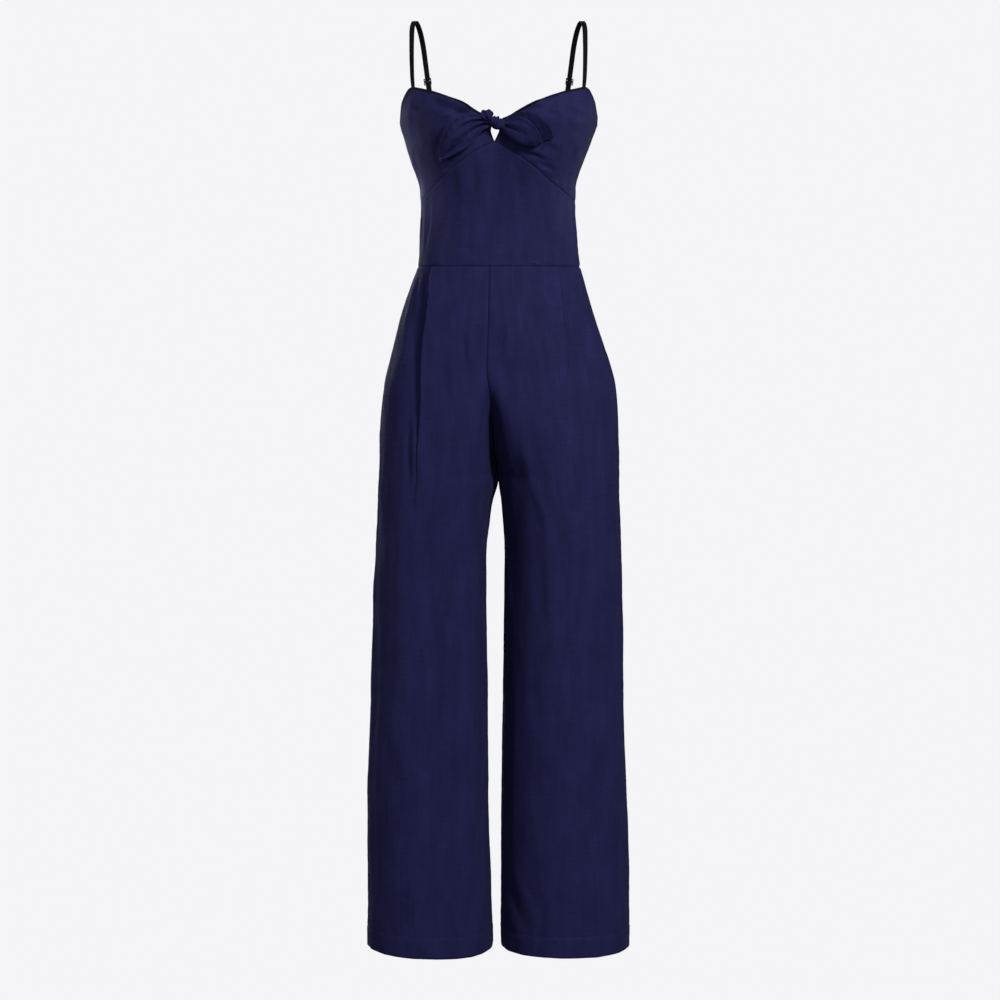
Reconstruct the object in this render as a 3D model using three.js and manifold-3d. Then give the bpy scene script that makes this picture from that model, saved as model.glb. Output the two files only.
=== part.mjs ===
// A sleeveless jumpsuit, filled out as it is worn but empty: two cups tied in a knot at the front,
// a midriff, a two-piece back with a zip, and wide trouser legs. Millimetres, +Z up, the front faces
// -Y, and the wearer's right side is at -X. The origin is midway between the two points where the
// shoulder straps bear.
import * as THREE from "three";
import { mergeVertices } from "three/addons/utils/BufferGeometryUtils.js";
import Module from "manifold-3d";

const wasm = await Module();
wasm.setup();

const RIGHT = -1;
const LEFT = 1;
const FRONT = -1;
const BACK = 1;

// Driving dimensions
const CLOTH = 1.6; // wall of every sewn panel
const SEAM_GAP = 0.3; // free space between two pieces
const HALF_GAP = SEAM_GAP / 2;
const SLANTED_HALF_GAP = 0.21; // the same along Z, where a seam runs across on a slant
const WAIST_Z = -368; // seam between bodice and trousers
const CROTCH_Z = -684; // lowest point of the rise
const HEM_Z = -1410; // lower edge of both legs at the seams
const HEM_DIP = { [RIGHT]: 3.5, [LEFT]: 2 }; // how far the hem hangs lower in the middle of each front
const DIP_FROM_Z = -1200; // height from which the front's cloth hangs lower
const SQUARENESS = 2.3; // exponent of the sections, 2 is an ellipse
const STRAP = { width: 8, thick: 1.2 };
const LOOP = { width: 8, thick: 1, below: 14, above: 9, partFrom: 5.4 };
const TAIL_CLOTH = 1.4; // wall of the tie's free ends
const LEVEL_NEAR_WAIST = 2; // within this distance of the waist seam the walls stand upright

// Sections of the bodice: half-widths to the wearer's right and left, depths to the front and back
const BODICE = [
  { z: -95, right: 145, left: 145, front: 92, back: 86 },
  { z: -125, right: 148.5, left: 148.5, front: 101, back: 89 },
  { z: -150, right: 149, left: 149.3, front: 105, back: 91 },
  { z: -180, right: 141.5, left: 140, front: 104, back: 91.5 },
  { z: -215, right: 131, left: 127, front: 101, back: 88 },
  { z: -250, right: 119.3, left: 116.5, front: 96, back: 82 },
  { z: -290, right: 117.5, left: 116.3, front: 91.5, back: 78 },
  { z: -330, right: 118.8, left: 119.5, front: 90, back: 78.5 },
  { z: WAIST_Z, right: 122.5, left: 124, front: 92, back: 84 },
];

// Fullness of the cups over the plain sections: a mound on each side and a hollow between them
const CUP_MOUND = { x: 82, z: -158, height: 26, spreadX: 38, spreadZ: 42 };
const CUP_HOLLOW = { z: -165, depth: 6, spreadX: 22, spreadZ: 30 };

// Upper edge of the bodice, by the angle round the body: 0 is the front, 90 the side seam and 180 the
// back. The neckline and the armhole's edge meet in the corner that carries the strap.
const CORNER_DEG = 60;
const CORNER_Z = -101;
const NECKLINE = [
  { deg: 0, z: -153 },
  { deg: 3.7, z: -148.4 },
  { deg: 9.6, z: -139.9 },
  { deg: 15.4, z: -131.4 },
  { deg: 20.4, z: -125.6 },
  { deg: 30, z: -116.3 },
  { deg: 39, z: -110 },
  { deg: 50.4, z: -104.8 },
  { deg: CORNER_DEG, z: CORNER_Z },
];
const ARMHOLE = [
  { deg: CORNER_DEG, z: CORNER_Z },
  { deg: 65, z: -104.5 },
  { deg: 72, z: -115.5 },
  { deg: 80, z: -131 },
  { deg: 90, z: -150 },
  { deg: 105, z: -162 },
  { deg: 130, z: -173 },
  { deg: 155, z: -181 },
  { deg: 180, z: -184 },
];

// Seam under the cups, by the same angle
const UNDERBUST = [
  { deg: 0, z: -185 },
  { deg: 11, z: -202 },
  { deg: 22.4, z: -218.5 },
  { deg: 40.6, z: -241.5 },
  { deg: 58, z: -257 },
  { deg: 73, z: -267 },
  { deg: 90, z: -271 },
];

// Inner edge of each cup: a keyhole is left open under the knot
const KEYHOLE = [
  { z: -185, half: 0.2 },
  { z: -176, half: 4 },
  { z: -168, half: 6.6 },
  { z: -150, half: 6 },
  { z: -143, half: 4 },
];

// How far the middle of the front has swung to the wearer's left, at each height
const FRONT_SWAY = [
  { z: -105, x: 0 },
  { z: -123, x: -1.5 },
  { z: -140, x: -2 },
  { z: -150, x: 0 },
  { z: -168, x: -5 },
  { z: -185, x: -6 },
  { z: -280, x: -9 },
  { z: WAIST_Z, x: -14 },
  { z: -448, x: -15.5 },
  { z: -520, x: -17.5 },
  { z: -560, x: -13 },
  { z: -600, x: -9.6 },
  { z: -640, x: -7 },
  { z: CROTCH_Z, x: 0 },
];

// Sections of the trousers: outer and inner edges of each leg, depths, how far the leg's own centre has
// moved from the middle (lean) and how far the rise seam has turned under (rise)
const TROUSERS = [
  { z: WAIST_Z, outR: 122.5, outL: 124, inR: 0, inL: 0, front: 92, back: 84, lean: 0, rise: 0 },
  { z: -406, outR: 136, outL: 134.6, inR: 0, inL: 0, front: 96, back: 93, lean: 0.06, rise: 0.02 },
  { z: -442, outR: 148.4, outL: 145.3, inR: 0, inL: 0, front: 99.5, back: 102, lean: 0.12, rise: 0.05 },
  { z: -479, outR: 157.6, outL: 157.6, inR: 0, inL: 0, front: 102, back: 110, lean: 0.2, rise: 0.09 },
  { z: -515, outR: 167, outL: 170, inR: 0, inL: 0, front: 104, back: 116, lean: 0.3, rise: 0.15 },
  { z: -552, outR: 174.6, outL: 179.2, inR: 0, inL: 0, front: 105, back: 119.5, lean: 0.45, rise: 0.27 },
  { z: -600, outR: 179, outL: 182.5, inR: 0, inL: 0, front: 105, back: 120, lean: 0.68, rise: 0.5 },
  { z: -630, outR: 181, outL: 183, inR: 0, inL: 0, front: 104.5, back: 118.5, lean: 0.83, rise: 0.69 },
  { z: -655, outR: 181.3, outL: 184, inR: 0, inL: 0, front: 104, back: 116.8, lean: 0.93, rise: 0.85 },
  { z: -672, outR: 182, outL: 184, inR: 0, inL: 0, front: 103.5, back: 115.3, lean: 0.98, rise: 0.945 },
  { z: CROTCH_Z, outR: 182.4, outL: 184.2, inR: 0, inL: 0, front: 103, back: 114, lean: 1, rise: 1 },
  { z: -735, outR: 184.4, outL: 184.8, inR: 11, inL: 5.4, front: 101, back: 109.5, lean: 1, rise: 1 },
  { z: -809, outR: 187.7, outL: 187.7, inR: 18.5, inL: 9.5, front: 98.5, back: 104, lean: 1, rise: 1 },
  { z: -883, outR: 191, outL: 189.5, inR: 19.2, inL: 8.8, front: 97, back: 101, lean: 1, rise: 1 },
  { z: -1032, outR: 196.2, outL: 191.8, inR: 16.5, inL: 6.9, front: 95.5, back: 97.5, lean: 1, rise: 1 },
  { z: -1181, outR: 202, outL: 198, inR: 15.5, inL: 4.5, front: 95, back: 96, lean: 1, rise: 1 },
  { z: -1300, outR: 202, outL: 202, inR: 12, inL: 3.8, front: 95, back: 95.5, lean: 1, rise: 1 },
  { z: HEM_Z, outR: 202.2, outL: 202.2, inR: 8.6, inL: 3.8, front: 95, back: 95, lean: 1, rise: 1 },
];

// Pressed pleat of each front, from the waist down: its distance from the middle and the height of its step
const PLEAT = {
  [RIGHT]: [
    { z: WAIST_Z, x: 91.6, height: 3.5 },
    { z: -384, x: 91.8, height: 11 },
    { z: -426, x: 93, height: 14 },
    { z: -473, x: 99.2, height: 13 },
    { z: -529, x: 102.8, height: 10 },
    { z: -578, x: 107.5, height: 7 },
    { z: -629, x: 114, height: 4 },
    { z: -700, x: 122, height: 1.5 },
    { z: -760, x: 126, height: 0 },
    { z: HEM_Z, x: 126, height: 0 },
  ],
  [LEFT]: [
    { z: WAIST_Z, x: 96.5, height: 1.2 },
    { z: -395, x: 99, height: 3 },
    { z: -440, x: 104, height: 2.6 },
    { z: -500, x: 112, height: 1.4 },
    { z: -580, x: 118, height: 0 },
    { z: HEM_Z, x: 126, height: 0 },
  ],
};
const PLEAT_STEP = 3; // width of the pleat's steep side
const PLEAT_INNER = 30; // how far the pleat's ridge reaches towards the middle
const PLEAT_OUTER = 14; // how far its trough reaches towards the side seam
const PLEAT_FADE = 2.5; // how quickly the pleat comes in from the leg's edges

// Long soft folds of the legs: where each runs, its width across and its height, negative for a trough
const FOLD_TAPER = 0.6; // how bluntly a fold ends, 1 being the slowest
const LEG_FOLDS = [
  { side: RIGHT, face: FRONT, topX: 60, lowX: 48, topZ: -560, lowZ: -1390, width: 20, height: 2.5 },
  { side: RIGHT, face: FRONT, topX: 100, lowX: 92, topZ: -700, lowZ: -1400, width: 24, height: -3 },
  { side: RIGHT, face: FRONT, topX: 150, lowX: 158, topZ: -640, lowZ: -1350, width: 22, height: 2.5 },
  { side: LEFT, face: FRONT, topX: 34, lowX: 26, topZ: -600, lowZ: -1330, width: 15, height: -3.5 },
  { side: LEFT, face: FRONT, topX: 78, lowX: 84, topZ: -520, lowZ: -1380, width: 26, height: 3 },
  { side: LEFT, face: FRONT, topX: 140, lowX: 138, topZ: -600, lowZ: -1400, width: 22, height: -2.5 },
  { side: RIGHT, face: BACK, topX: 62, lowX: 50, topZ: -640, lowZ: -1390, width: 20, height: 3.5 },
  { side: RIGHT, face: BACK, topX: 112, lowX: 106, topZ: -620, lowZ: -1400, width: 24, height: -3.5 },
  { side: RIGHT, face: BACK, topX: 155, lowX: 160, topZ: -700, lowZ: -1380, width: 20, height: 2.5 },
  { side: LEFT, face: BACK, topX: 58, lowX: 66, topZ: -640, lowZ: -1400, width: 22, height: 3.5 },
  { side: LEFT, face: BACK, topX: 104, lowX: 118, topZ: -600, lowZ: -1390, width: 22, height: -3.5 },
  { side: LEFT, face: BACK, topX: 156, lowX: 160, topZ: -680, lowZ: -1360, width: 18, height: 2.5 },
];

// Free end of the tie on the wearer's right, a leaf: its upper and lower edges and its height over the cup
const RIGHT_TAIL = [
  { upX: -6, upZ: -154, lowX: -4, lowZ: -161, up: 8, middle: 10, low: 9 },
  { upX: -27, upZ: -147, lowX: -21, lowZ: -168.6, up: 7, middle: 9, low: 10 },
  { upX: -41.6, upZ: -145.8, lowX: -30, lowZ: -177.3, up: 7, middle: 10, low: 10 },
  { upX: -53.3, upZ: -147.5, lowX: -38.7, lowZ: -187.5, up: 7, middle: 11, low: 10 },
  { upX: -64.5, upZ: -153, lowX: -47.5, lowZ: -196.2, up: 7, middle: 11, low: 9 },
  { upX: -77, upZ: -164.5, lowX: -61, lowZ: -204, up: 7, middle: 10, low: 8 },
  { upX: -84.5, upZ: -182, lowX: -74, lowZ: -210, up: 6, middle: 8, low: 7 },
  { upX: -87.5, upZ: -205, lowX: -85, lowZ: -213, up: 5, middle: 5.5, low: 5.5 },
];

// Free end on the wearer's left, folded lengthwise like a trough: the edge of the layer behind, the fold
// below and the edge of the layer in front. The front edge stands so high over the cup (lift), and the
// edge behind rises over its own layer (rim), so that a hollow opens between them.
const LEFT_TAIL = [
  { backX: 3, backZ: -156, foldX: 3, foldZ: -165, edgeX: 5, edgeZ: -156.5, lift: 10, rim: 0 },
  { backX: 18, backZ: -148.5, foldX: 11, foldZ: -175, edgeX: 19, edgeZ: -152.5, lift: 12, rim: 4 },
  { backX: 30, backZ: -144.2, foldX: 21, foldZ: -183.5, edgeX: 29, edgeZ: -150.5, lift: 14, rim: 8 },
  { backX: 42, backZ: -143, foldX: 31, foldZ: -189, edgeX: 39, edgeZ: -153.5, lift: 15, rim: 10 },
  { backX: 54.5, backZ: -147, foldX: 42, foldZ: -192, edgeX: 48, edgeZ: -160, lift: 15, rim: 11 },
  { backX: 66.5, backZ: -155.5, foldX: 50.5, foldZ: -192.5, edgeX: 55, edgeZ: -168, lift: 14, rim: 10.5 },
  { backX: 76, backZ: -167, foldX: 57, foldZ: -190, edgeX: 59.5, edgeZ: -177, lift: 12, rim: 8 },
  { backX: 81.5, backZ: -181, foldX: 61.5, foldZ: -186, edgeX: 61.8, edgeZ: -185, lift: 10, rim: 3 },
];
const LEFT_TAIL_BACK = 2.6; // height of the layer behind over the cup
const RIM_SHARPNESS = 3; // how close to its edge the layer behind rises
const FOLD_ROUNDNESS = 4; // how full the fold is

// The two turns of the knot: centre, half-sizes, and how far each is turned in the plane of the front
const KNOT = {
  band: { x: -2, z: -158.4, halfLong: 14.2, halfShort: 8.4, halfDeep: 9, turn: -28, ridges: 7, ridge: 0.06 },
  lobe: { x: -17.5, z: -147, halfLong: 10.5, halfShort: 8, halfDeep: 7.5, turn: 14, ridges: 4, ridge: 0.04 },
};
const KNOT_STANDS_OFF = 1.5; // from the cups' outer faces to the knot's rearmost point

// Route of a shoulder strap's middle line between its ends, for the wearer's left, with the direction of
// the strap's width as an angle from the X axis, seen from above
const STRAP_ROUTE = [
  { x: 128.8, y: -48, z: -86, turn: 42 },
  { x: 129.5, y: -46, z: -62, turn: 34 },
  { x: 129.8, y: -38, z: -34, turn: 26 },
  { x: 129.2, y: -23, z: -9.8, turn: 14 },
  { x: 125.5, y: 0, z: 0.8, turn: 4 },
  { x: 120, y: 23, z: -9.5, turn: -4 },
  { x: 115.2, y: 41, z: -31, turn: -9 },
  { x: 111.4, y: 54, z: -60, turn: -14 },
  { x: 107, y: 63.5, z: -95, turn: -21 },
  { x: 102.3, y: 69, z: -130, turn: -30 },
];
const STRAP_FRONT = { deg: 60.5, z: -114, edgeZ: -105 }; // where the front end is sewn behind the cup
const SEWN_GAP = 0.7; // between a strap and the panel that it is sewn in behind
const STRAP_BACK_DEG = 138; // where the loop that carries the ring leaves the back's upper edge
const SLIDER = { fromRing: 76, width: 12, height: 10, bar: 1.5, thick: 1.2, lift: 1.5 };
const SLOPE_ROOM = 0.15; // between a slider's bars and the strap that slopes between them
const RING = { width: 13, height: 9, bar: 1.2, thick: 1 };
const STRAIGHT_END = 7; // length of strap that hangs straight above the ring
const RING_ROOM = 0.7; // between the ring's bar and what is folded round it

// Zip down the middle of the back, closed, with its slider just under the upper edge
const ZIP = { topZ: -187, lowZ: -545, half: 10, thick: 0.9, gap: 1.6, rows: 22 };
const SLOT = { half: 1.1, topZ: -150, lowZ: -206, deep: 30 }; // opening for the slider's neck
const ZIP_SLIDER = {
  z: -198, width: 6, height: 10, thick: 1, inner: 2, clear: 1, standsOff: 0.7, neckWidth: 1.2, neckHeight: 5,
};
const ZIP_PIN = { out: 3.8, radius: 0.6, short: 0.1, cheekFrom: 1.75, cheekTo: 2.7, cheekHigh: 3, lap: 0.4 };
const ZIP_PULL = {
  eyeWidth: 2.6, eyeOuter: 1.9, eyeHole: 0.9, long: 19, neck: 1.5, wide: 3.2, thick: 1,
  bendFrom: 0.4, bendTo: 0.6,
};

// How finely each piece is divided: rows, then columns
const CUP_ROWS = 10;
const MIDRIFF_ROWS = 5;
const QUARTER_COLUMNS = 18;
const BACK_GRID = [8, 10];
const RIGHT_TAIL_GRID = [12, 7];
const LEFT_TAIL_GRID = [14, 9];
const KNOT_GRID = [22, 14];
const STRAP_STEPS = 26;
const STRAP_LOW_STEPS = 8;
const TURN_STEPS = 6;
const TAPE_COLUMNS = 3;

// Finishes
const NAVY_LINEN = new THREE.MeshStandardMaterial({ color: "#1f1f4e", roughness: 0.85, metalness: 0 });
const NAVY_STRAP = new THREE.MeshStandardMaterial({ color: "#16162f", roughness: 0.75, metalness: 0 });
const NAVY_METAL = new THREE.MeshStandardMaterial({ color: "#1b1c33", roughness: 0.4, metalness: 0.3 });

const degrees = THREE.MathUtils.degToRad;
const clamp = THREE.MathUtils.clamp;
const lerp = THREE.MathUtils.lerp;

// Monotone cubic through one column of a table whose rows ascend or descend in the column named by key.
function columnCurve(table, key, column) {
  const rows = [...table].sort((a, b) => a[key] - b[key]);
  const at = rows.map((row) => row[key]);
  const value = rows.map((row) => row[column]);
  const chord = at.slice(1).map((next, i) => (value[i + 1] - value[i]) / (next - at[i]));
  const slope = value.map((_, i) => {
    if (i === 0 || i === value.length - 1) return chord[clamp(i - 1, 0, chord.length - 1)];
    if (chord[i - 1] * chord[i] <= 0) return 0;
    return 2 / (1 / chord[i - 1] + 1 / chord[i]);
  });
  return (position) => {
    const p = clamp(position, at[0], at[at.length - 1]);
    let i = 0;
    while (i < at.length - 2 && p > at[i + 1]) i += 1;
    const span = at[i + 1] - at[i];
    const t = (p - at[i]) / span;
    const rest = 1 - t;
    return (
      value[i] * (1 + 2 * t) * rest * rest +
      slope[i] * span * t * rest * rest +
      value[i + 1] * t * t * (3 - 2 * t) -
      slope[i + 1] * span * t * t * rest
    );
  };
}

function tableCurves(table, key, columns) {
  return Object.fromEntries(columns.map((column) => [column, columnCurve(table, key, column)]));
}

const bodice = tableCurves(BODICE, "z", ["right", "left", "front", "back"]);
const trousers = tableCurves(TROUSERS, "z", [
  "outR", "outL", "inR", "inL", "front", "back", "lean", "rise",
]);
const neckline = columnCurve(NECKLINE, "deg", "z");
const armhole = columnCurve(ARMHOLE, "deg", "z");
const topEdge = (deg) => (deg < CORNER_DEG ? neckline(deg) : armhole(deg));
const frontSway = columnCurve(FRONT_SWAY, "z", "x");
const underbust = columnCurve(UNDERBUST, "deg", "z");
const keyhole = columnCurve(KEYHOLE, "z", "half");
const pleats = {
  [RIGHT]: tableCurves(PLEAT[RIGHT], "z", ["x", "height"]),
  [LEFT]: tableCurves(PLEAT[LEFT], "z", ["x", "height"]),
};

// Steps round the body and round a leg over which a normal is taken, in degrees and in radians
const NORMAL_STEP_DEG = 0.5;
const NORMAL_STEP = 0.01;

const bell = (distance, spread) => Math.exp(-0.5 * (distance / spread) ** 2);
const round = (share) => Math.abs(share) ** (2 / SQUARENESS);

// Bodice

function cupFullness(x, z) {
  const mound =
    CUP_MOUND.height *
    bell(Math.abs(x) - CUP_MOUND.x, CUP_MOUND.spreadX) *
    bell(z - CUP_MOUND.z, CUP_MOUND.spreadZ);
  const hollow =
    CUP_HOLLOW.depth * bell(x, CUP_HOLLOW.spreadX) * bell(z - CUP_HOLLOW.z, CUP_HOLLOW.spreadZ);
  return mound - hollow;
}

function halfWidth(x, z) {
  if (z > WAIST_Z) return x < 0 ? bodice.right(z) : bodice.left(z);
  return x < 0 ? trousers.outR(z) : trousers.outL(z);
}

// Moves a point of the front by the sway, which is greatest in the middle and nothing at the side seams.
function sway(p) {
  if (p.z > CROTCH_Z) p.x += frontSway(p.z) * Math.max(0, 1 - (p.x / halfWidth(p.x, p.z)) ** 2);
  return p;
}

// The place that the sway moves to x.
function beforeSway(x, z) {
  let before = x;
  for (let i = 0; i < 6; i += 1) before = x - frontSway(z) * (1 - (before / halfWidth(before, z)) ** 2);
  return before;
}

// Depth of the bodice's front at a point of the front view, before the sway.
function frontDepth(x, z) {
  const share = Math.min(1, Math.abs(x) / halfWidth(x, z));
  const level = (1 - share ** SQUARENESS) ** (1 / SQUARENESS);
  return -bodice.front(z) * level - cupFullness(x, z) * Math.sqrt(level);
}

// A point of the bodice's outer face: deg runs from 0 at the front to 180 at the back.
function bodicePoint(side, deg, z) {
  const x = side * (side < 0 ? bodice.right(z) : bodice.left(z)) * round(Math.sin(degrees(deg)));
  if (deg <= 90) return new THREE.Vector3(x, frontDepth(x, z), z);
  return new THREE.Vector3(x, bodice.back(z) * round(Math.cos(degrees(deg))), z);
}

// Trousers

function legSection(side, z) {
  const outer = side < 0 ? trousers.outR(z) : trousers.outL(z);
  const inner = side < 0 ? trousers.inR(z) : trousers.inL(z);
  const centre = (trousers.lean(z) * (outer + inner)) / 2;
  const rise = trousers.rise(z);
  const outReach = outer - centre;
  let inReach = centre - inner;
  if (z > CROTCH_Z) inReach = rise > 1e-4 ? centre / rise : outReach;
  const clip = z > CROTCH_Z ? Math.acos(-(rise ** (SQUARENESS / 2))) : Math.PI;
  return { centre, outReach, inReach, clip };
}

// Angle at which a pleat runs on the leg's section: 0 is the side seam.
function pleatAngle(side, z) {
  const leg = legSection(side, z);
  const share = clamp((pleats[side].x(z) - leg.centre) / leg.outReach, 0, 1);
  return Math.acos(share ** (SQUARENESS / 2));
}

// Outward step of the pleat at a distance round the leg from its fold, towards the middle if positive.
function pleatProfile(distance) {
  if (distance >= 0) return Math.exp(-distance / PLEAT_INNER);
  if (distance > -PLEAT_STEP) return 1 + (2 * distance) / PLEAT_STEP;
  return -bell(distance + PLEAT_STEP, PLEAT_OUTER);
}

function foldHeight(side, face, x, z) {
  let height = 0;
  for (const fold of LEG_FOLDS) {
    if (fold.side !== side || fold.face !== face || z > fold.topZ || z < fold.lowZ) continue;
    const along = (fold.topZ - z) / (fold.topZ - fold.lowZ);
    const centre = lerp(fold.topX, fold.lowX, along);
    const strength = Math.sin(Math.PI * along) ** FOLD_TAPER;
    height += fold.height * strength * bell(Math.abs(x) - centre, fold.width / 2);
  }
  return height;
}

// A point of a leg's outer face: angle 0 is the side seam and the section's clip angle the rise or inseam.
function legPoint(side, face, angle, z) {
  const leg = legSection(side, z);
  const across = Math.cos(angle);
  const reach = across > 0 ? leg.outReach : leg.inReach;
  const x = side * (leg.centre + Math.sign(across) * reach * round(across));
  const depth = face === FRONT ? trousers.front(z) : trousers.back(z);
  const y = face * depth * round(Math.sin(angle));
  let out = foldHeight(side, face, x, z) * Math.sin(angle);
  if (face === FRONT) {
    const distance = (angle - pleatAngle(side, z)) * trousers.front(z);
    const fadeAtSeams = Math.min(1, Math.sin(angle) * PLEAT_FADE);
    out += (pleats[side].height(z) * pleatProfile(distance) * fadeAtSeams) / 2;
  }
  const dip = face === FRONT ? HEM_DIP[side] * Math.sin(angle) : 0;
  const hang = dip * clamp((z - DIP_FROM_Z) / (HEM_Z - DIP_FROM_Z), 0, 1) ** 2;
  return new THREE.Vector3(x + side * across * out, y + face * Math.sin(angle) * out, z - hang);
}

// Walls

// Normal of a grid at one of its points, from the neighbouring points.
function normalAt(grid, i, j) {
  const rows = grid.length - 1;
  const columns = grid[0].length - 1;
  const down = grid[Math.min(i + 1, rows)][j].clone().sub(grid[Math.max(i - 1, 0)][j]);
  const across = grid[i][Math.min(j + 1, columns)].clone().sub(grid[i][Math.max(j - 1, 0)]);
  return down.cross(across).normalize();
}

// Normal of a surface given by a function of an angle and a height, so that two pieces agree on a seam.
function surfaceNormal(point, angle, z, step) {
  const across = point(angle + step, z).sub(point(angle - step, z));
  const down = point(angle, z - 1).sub(point(angle, z + 1));
  return down.cross(across).normalize();
}

// Turns a grid of outer points into a closed wall. outwards is 1 or -1, whichever makes the grid's normals
// point out, and keep moves a point back to its own side of a seam.
function wall(grid, { thickness = CLOTH, outwards = 1, keep = (p) => p, normals = null } = {}) {
  const rows = grid.length;
  const columns = grid[0].length;
  const outer = [];
  const inner = [];
  for (let i = 0; i < rows; i += 1) {
    for (let j = 0; j < columns; j += 1) {
      const normal = (normals ? normals[i][j].clone() : normalAt(grid, i, j)).multiplyScalar(outwards);
      outer.push(keep(grid[i][j].clone()));
      inner.push(keep(grid[i][j].clone().addScaledVector(normal, -thickness)));
    }
  }
  const points = [...outer, ...inner];
  const offset = outer.length;
  const index = [];
  const quad = (a, b, c, d) => index.push(...(outwards > 0 ? [a, b, c, a, c, d] : [a, c, b, a, d, c]));
  const at = (i, j) => i * columns + j;
  for (let i = 0; i < rows - 1; i += 1) {
    for (let j = 0; j < columns - 1; j += 1) {
      quad(at(i, j), at(i + 1, j), at(i + 1, j + 1), at(i, j + 1));
      quad(
        offset + at(i, j), offset + at(i, j + 1), offset + at(i + 1, j + 1), offset + at(i + 1, j),
      );
    }
  }
  const rim = (a, b) => quad(a, b, offset + b, offset + a);
  for (let j = 0; j < columns - 1; j += 1) {
    rim(at(0, j), at(0, j + 1));
    rim(at(rows - 1, j + 1), at(rows - 1, j));
  }
  for (let i = 0; i < rows - 1; i += 1) {
    rim(at(i + 1, 0), at(i, 0));
    rim(at(i, columns - 1), at(i + 1, columns - 1));
  }
  return geometryOf(points, index);
}

function geometryOf(points, index) {
  const geometry = new THREE.BufferGeometry();
  const numbers = points.flatMap((p) => p.toArray());
  geometry.setAttribute("position", new THREE.Float32BufferAttribute(numbers, 3));
  geometry.setIndex(index);
  geometry.computeVertexNormals();
  return geometry;
}

// A grid of points from two counts and a function of two shares from 0 to 1.
function gridOf(rows, columns, point) {
  return Array.from({ length: rows + 1 }, (_, i) =>
    Array.from({ length: columns + 1 }, (_, j) => point(i / rows, j / columns)),
  );
}

// Keeps a point on its own side of the middle and of the side seams. The front then sways.
function keepIn(side, face) {
  return (p) => {
    if (side && p.x * side < HALF_GAP) p.x = side * HALF_GAP;
    if (p.y * face < HALF_GAP) p.y = face * HALF_GAP;
    return face === FRONT ? sway(p) : p;
  };
}

// Solids for boolean work

function solidOf(geometry) {
  const bare = geometry.clone();
  bare.deleteAttribute("normal");
  bare.deleteAttribute("uv");
  const merged = mergeVertices(bare, 1e-4);
  return new wasm.Manifold(
    new wasm.Mesh({
      numProp: 3,
      vertProperties: new Float32Array(merged.attributes.position.array),
      triVerts: new Uint32Array(merged.index.array),
    }),
  );
}

function geometryFrom(solid) {
  const mesh = solid.getMesh();
  const geometry = new THREE.BufferGeometry();
  geometry.setAttribute("position", new THREE.Float32BufferAttribute(mesh.vertProperties, 3));
  geometry.setIndex([...mesh.triVerts]);
  geometry.computeVertexNormals();
  return geometry;
}

// Panels of the bodice

// Normal of the bodice at an angle and height; at the waist it lies level, as the trousers' does.
function bodiceNormal(side, deg, z) {
  const place = (angle, height) => bodicePoint(side, clamp(angle, 0, 180), height);
  const normal = surfaceNormal(place, deg, z, NORMAL_STEP_DEG);
  return z < WAIST_Z + LEVEL_NEAR_WAIST ? normal.setZ(0).normalize() : normal;
}

// Shares of the quarter turn from the middle of the front to the side seam
const QUARTER_SHARES = Array.from({ length: QUARTER_COLUMNS + 1 }, (_, i) => i / QUARTER_COLUMNS);

// One cup, from its keyhole edge to the side seam and from the seam below to the neckline and armhole.
function cupGeometry(side) {
  const seamZ = (deg) => underbust(deg) + SLANTED_HALF_GAP;
  const grid = [];
  const normals = [];
  for (let i = 0; i <= CUP_ROWS; i += 1) {
    const down = i / CUP_ROWS;
    const places = QUARTER_SHARES.map((share) => {
      const plainDeg = 90 * share;
      const plainZ = lerp(topEdge(plainDeg), seamZ(plainDeg), down);
      // near the middle the edge follows the keyhole
      const innerShare = (keyhole(plainZ) / halfWidth(side, plainZ)) ** (SQUARENESS / 2);
      const innerDeg = THREE.MathUtils.radToDeg(Math.asin(innerShare));
      const deg = plainDeg + innerDeg * Math.max(0, 1 - plainDeg / CORNER_DEG);
      return { deg, z: lerp(topEdge(deg), seamZ(deg), down) };
    });
    grid.push(places.map(({ deg, z }) => bodicePoint(side, deg, z)));
    normals.push(places.map(({ deg, z }) => bodiceNormal(side, deg, z)));
  }
  return wall(grid, { outwards: side, normals, keep: keepIn(side, FRONT) });
}

function midriffGeometry() {
  const shares = [...QUARTER_SHARES.slice(1).reverse().map((share) => -share), ...QUARTER_SHARES];
  const grid = [];
  const normals = [];
  for (let i = 0; i <= MIDRIFF_ROWS; i += 1) {
    const places = shares.map((share) => {
      const deg = 90 * Math.abs(share);
      const z = lerp(underbust(deg) - SLANTED_HALF_GAP, WAIST_Z + HALF_GAP, i / MIDRIFF_ROWS);
      return { side: share < 0 ? RIGHT : LEFT, deg, z };
    });
    grid.push(places.map(({ side, deg, z }) => bodicePoint(side, deg, z)));
    normals.push(places.map(({ side, deg, z }) => bodiceNormal(side, deg, z).multiplyScalar(side)));
  }
  return wall(grid, { normals, keep: keepIn(0, FRONT) });
}

function bodiceBackGeometry(side) {
  const places = gridOf(...BACK_GRID, (down, across) => {
    const deg = lerp(90, 180, across);
    return { deg, z: lerp(topEdge(deg), WAIST_Z + HALF_GAP, down) };
  });
  const grid = places.map((row) => row.map(({ deg, z }) => bodicePoint(side, deg, z)));
  const normals = places.map((row) => row.map(({ deg, z }) => bodiceNormal(side, deg, z)));
  return wall(grid, { outwards: side, normals, keep: keepIn(side, BACK) });
}

// Panels of the trousers

const LEG_ROWS = [
  WAIST_Z - HALF_GAP, -378, -392, -412, -440, -475, -512, -548, -580, -606, -627, -645, -660, -671, -679,
  CROTCH_Z, -694, -712, -740, -780, -830, -890, -960, -1040, -1125, -1215, -1305, -1370, HEM_Z,
];
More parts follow.
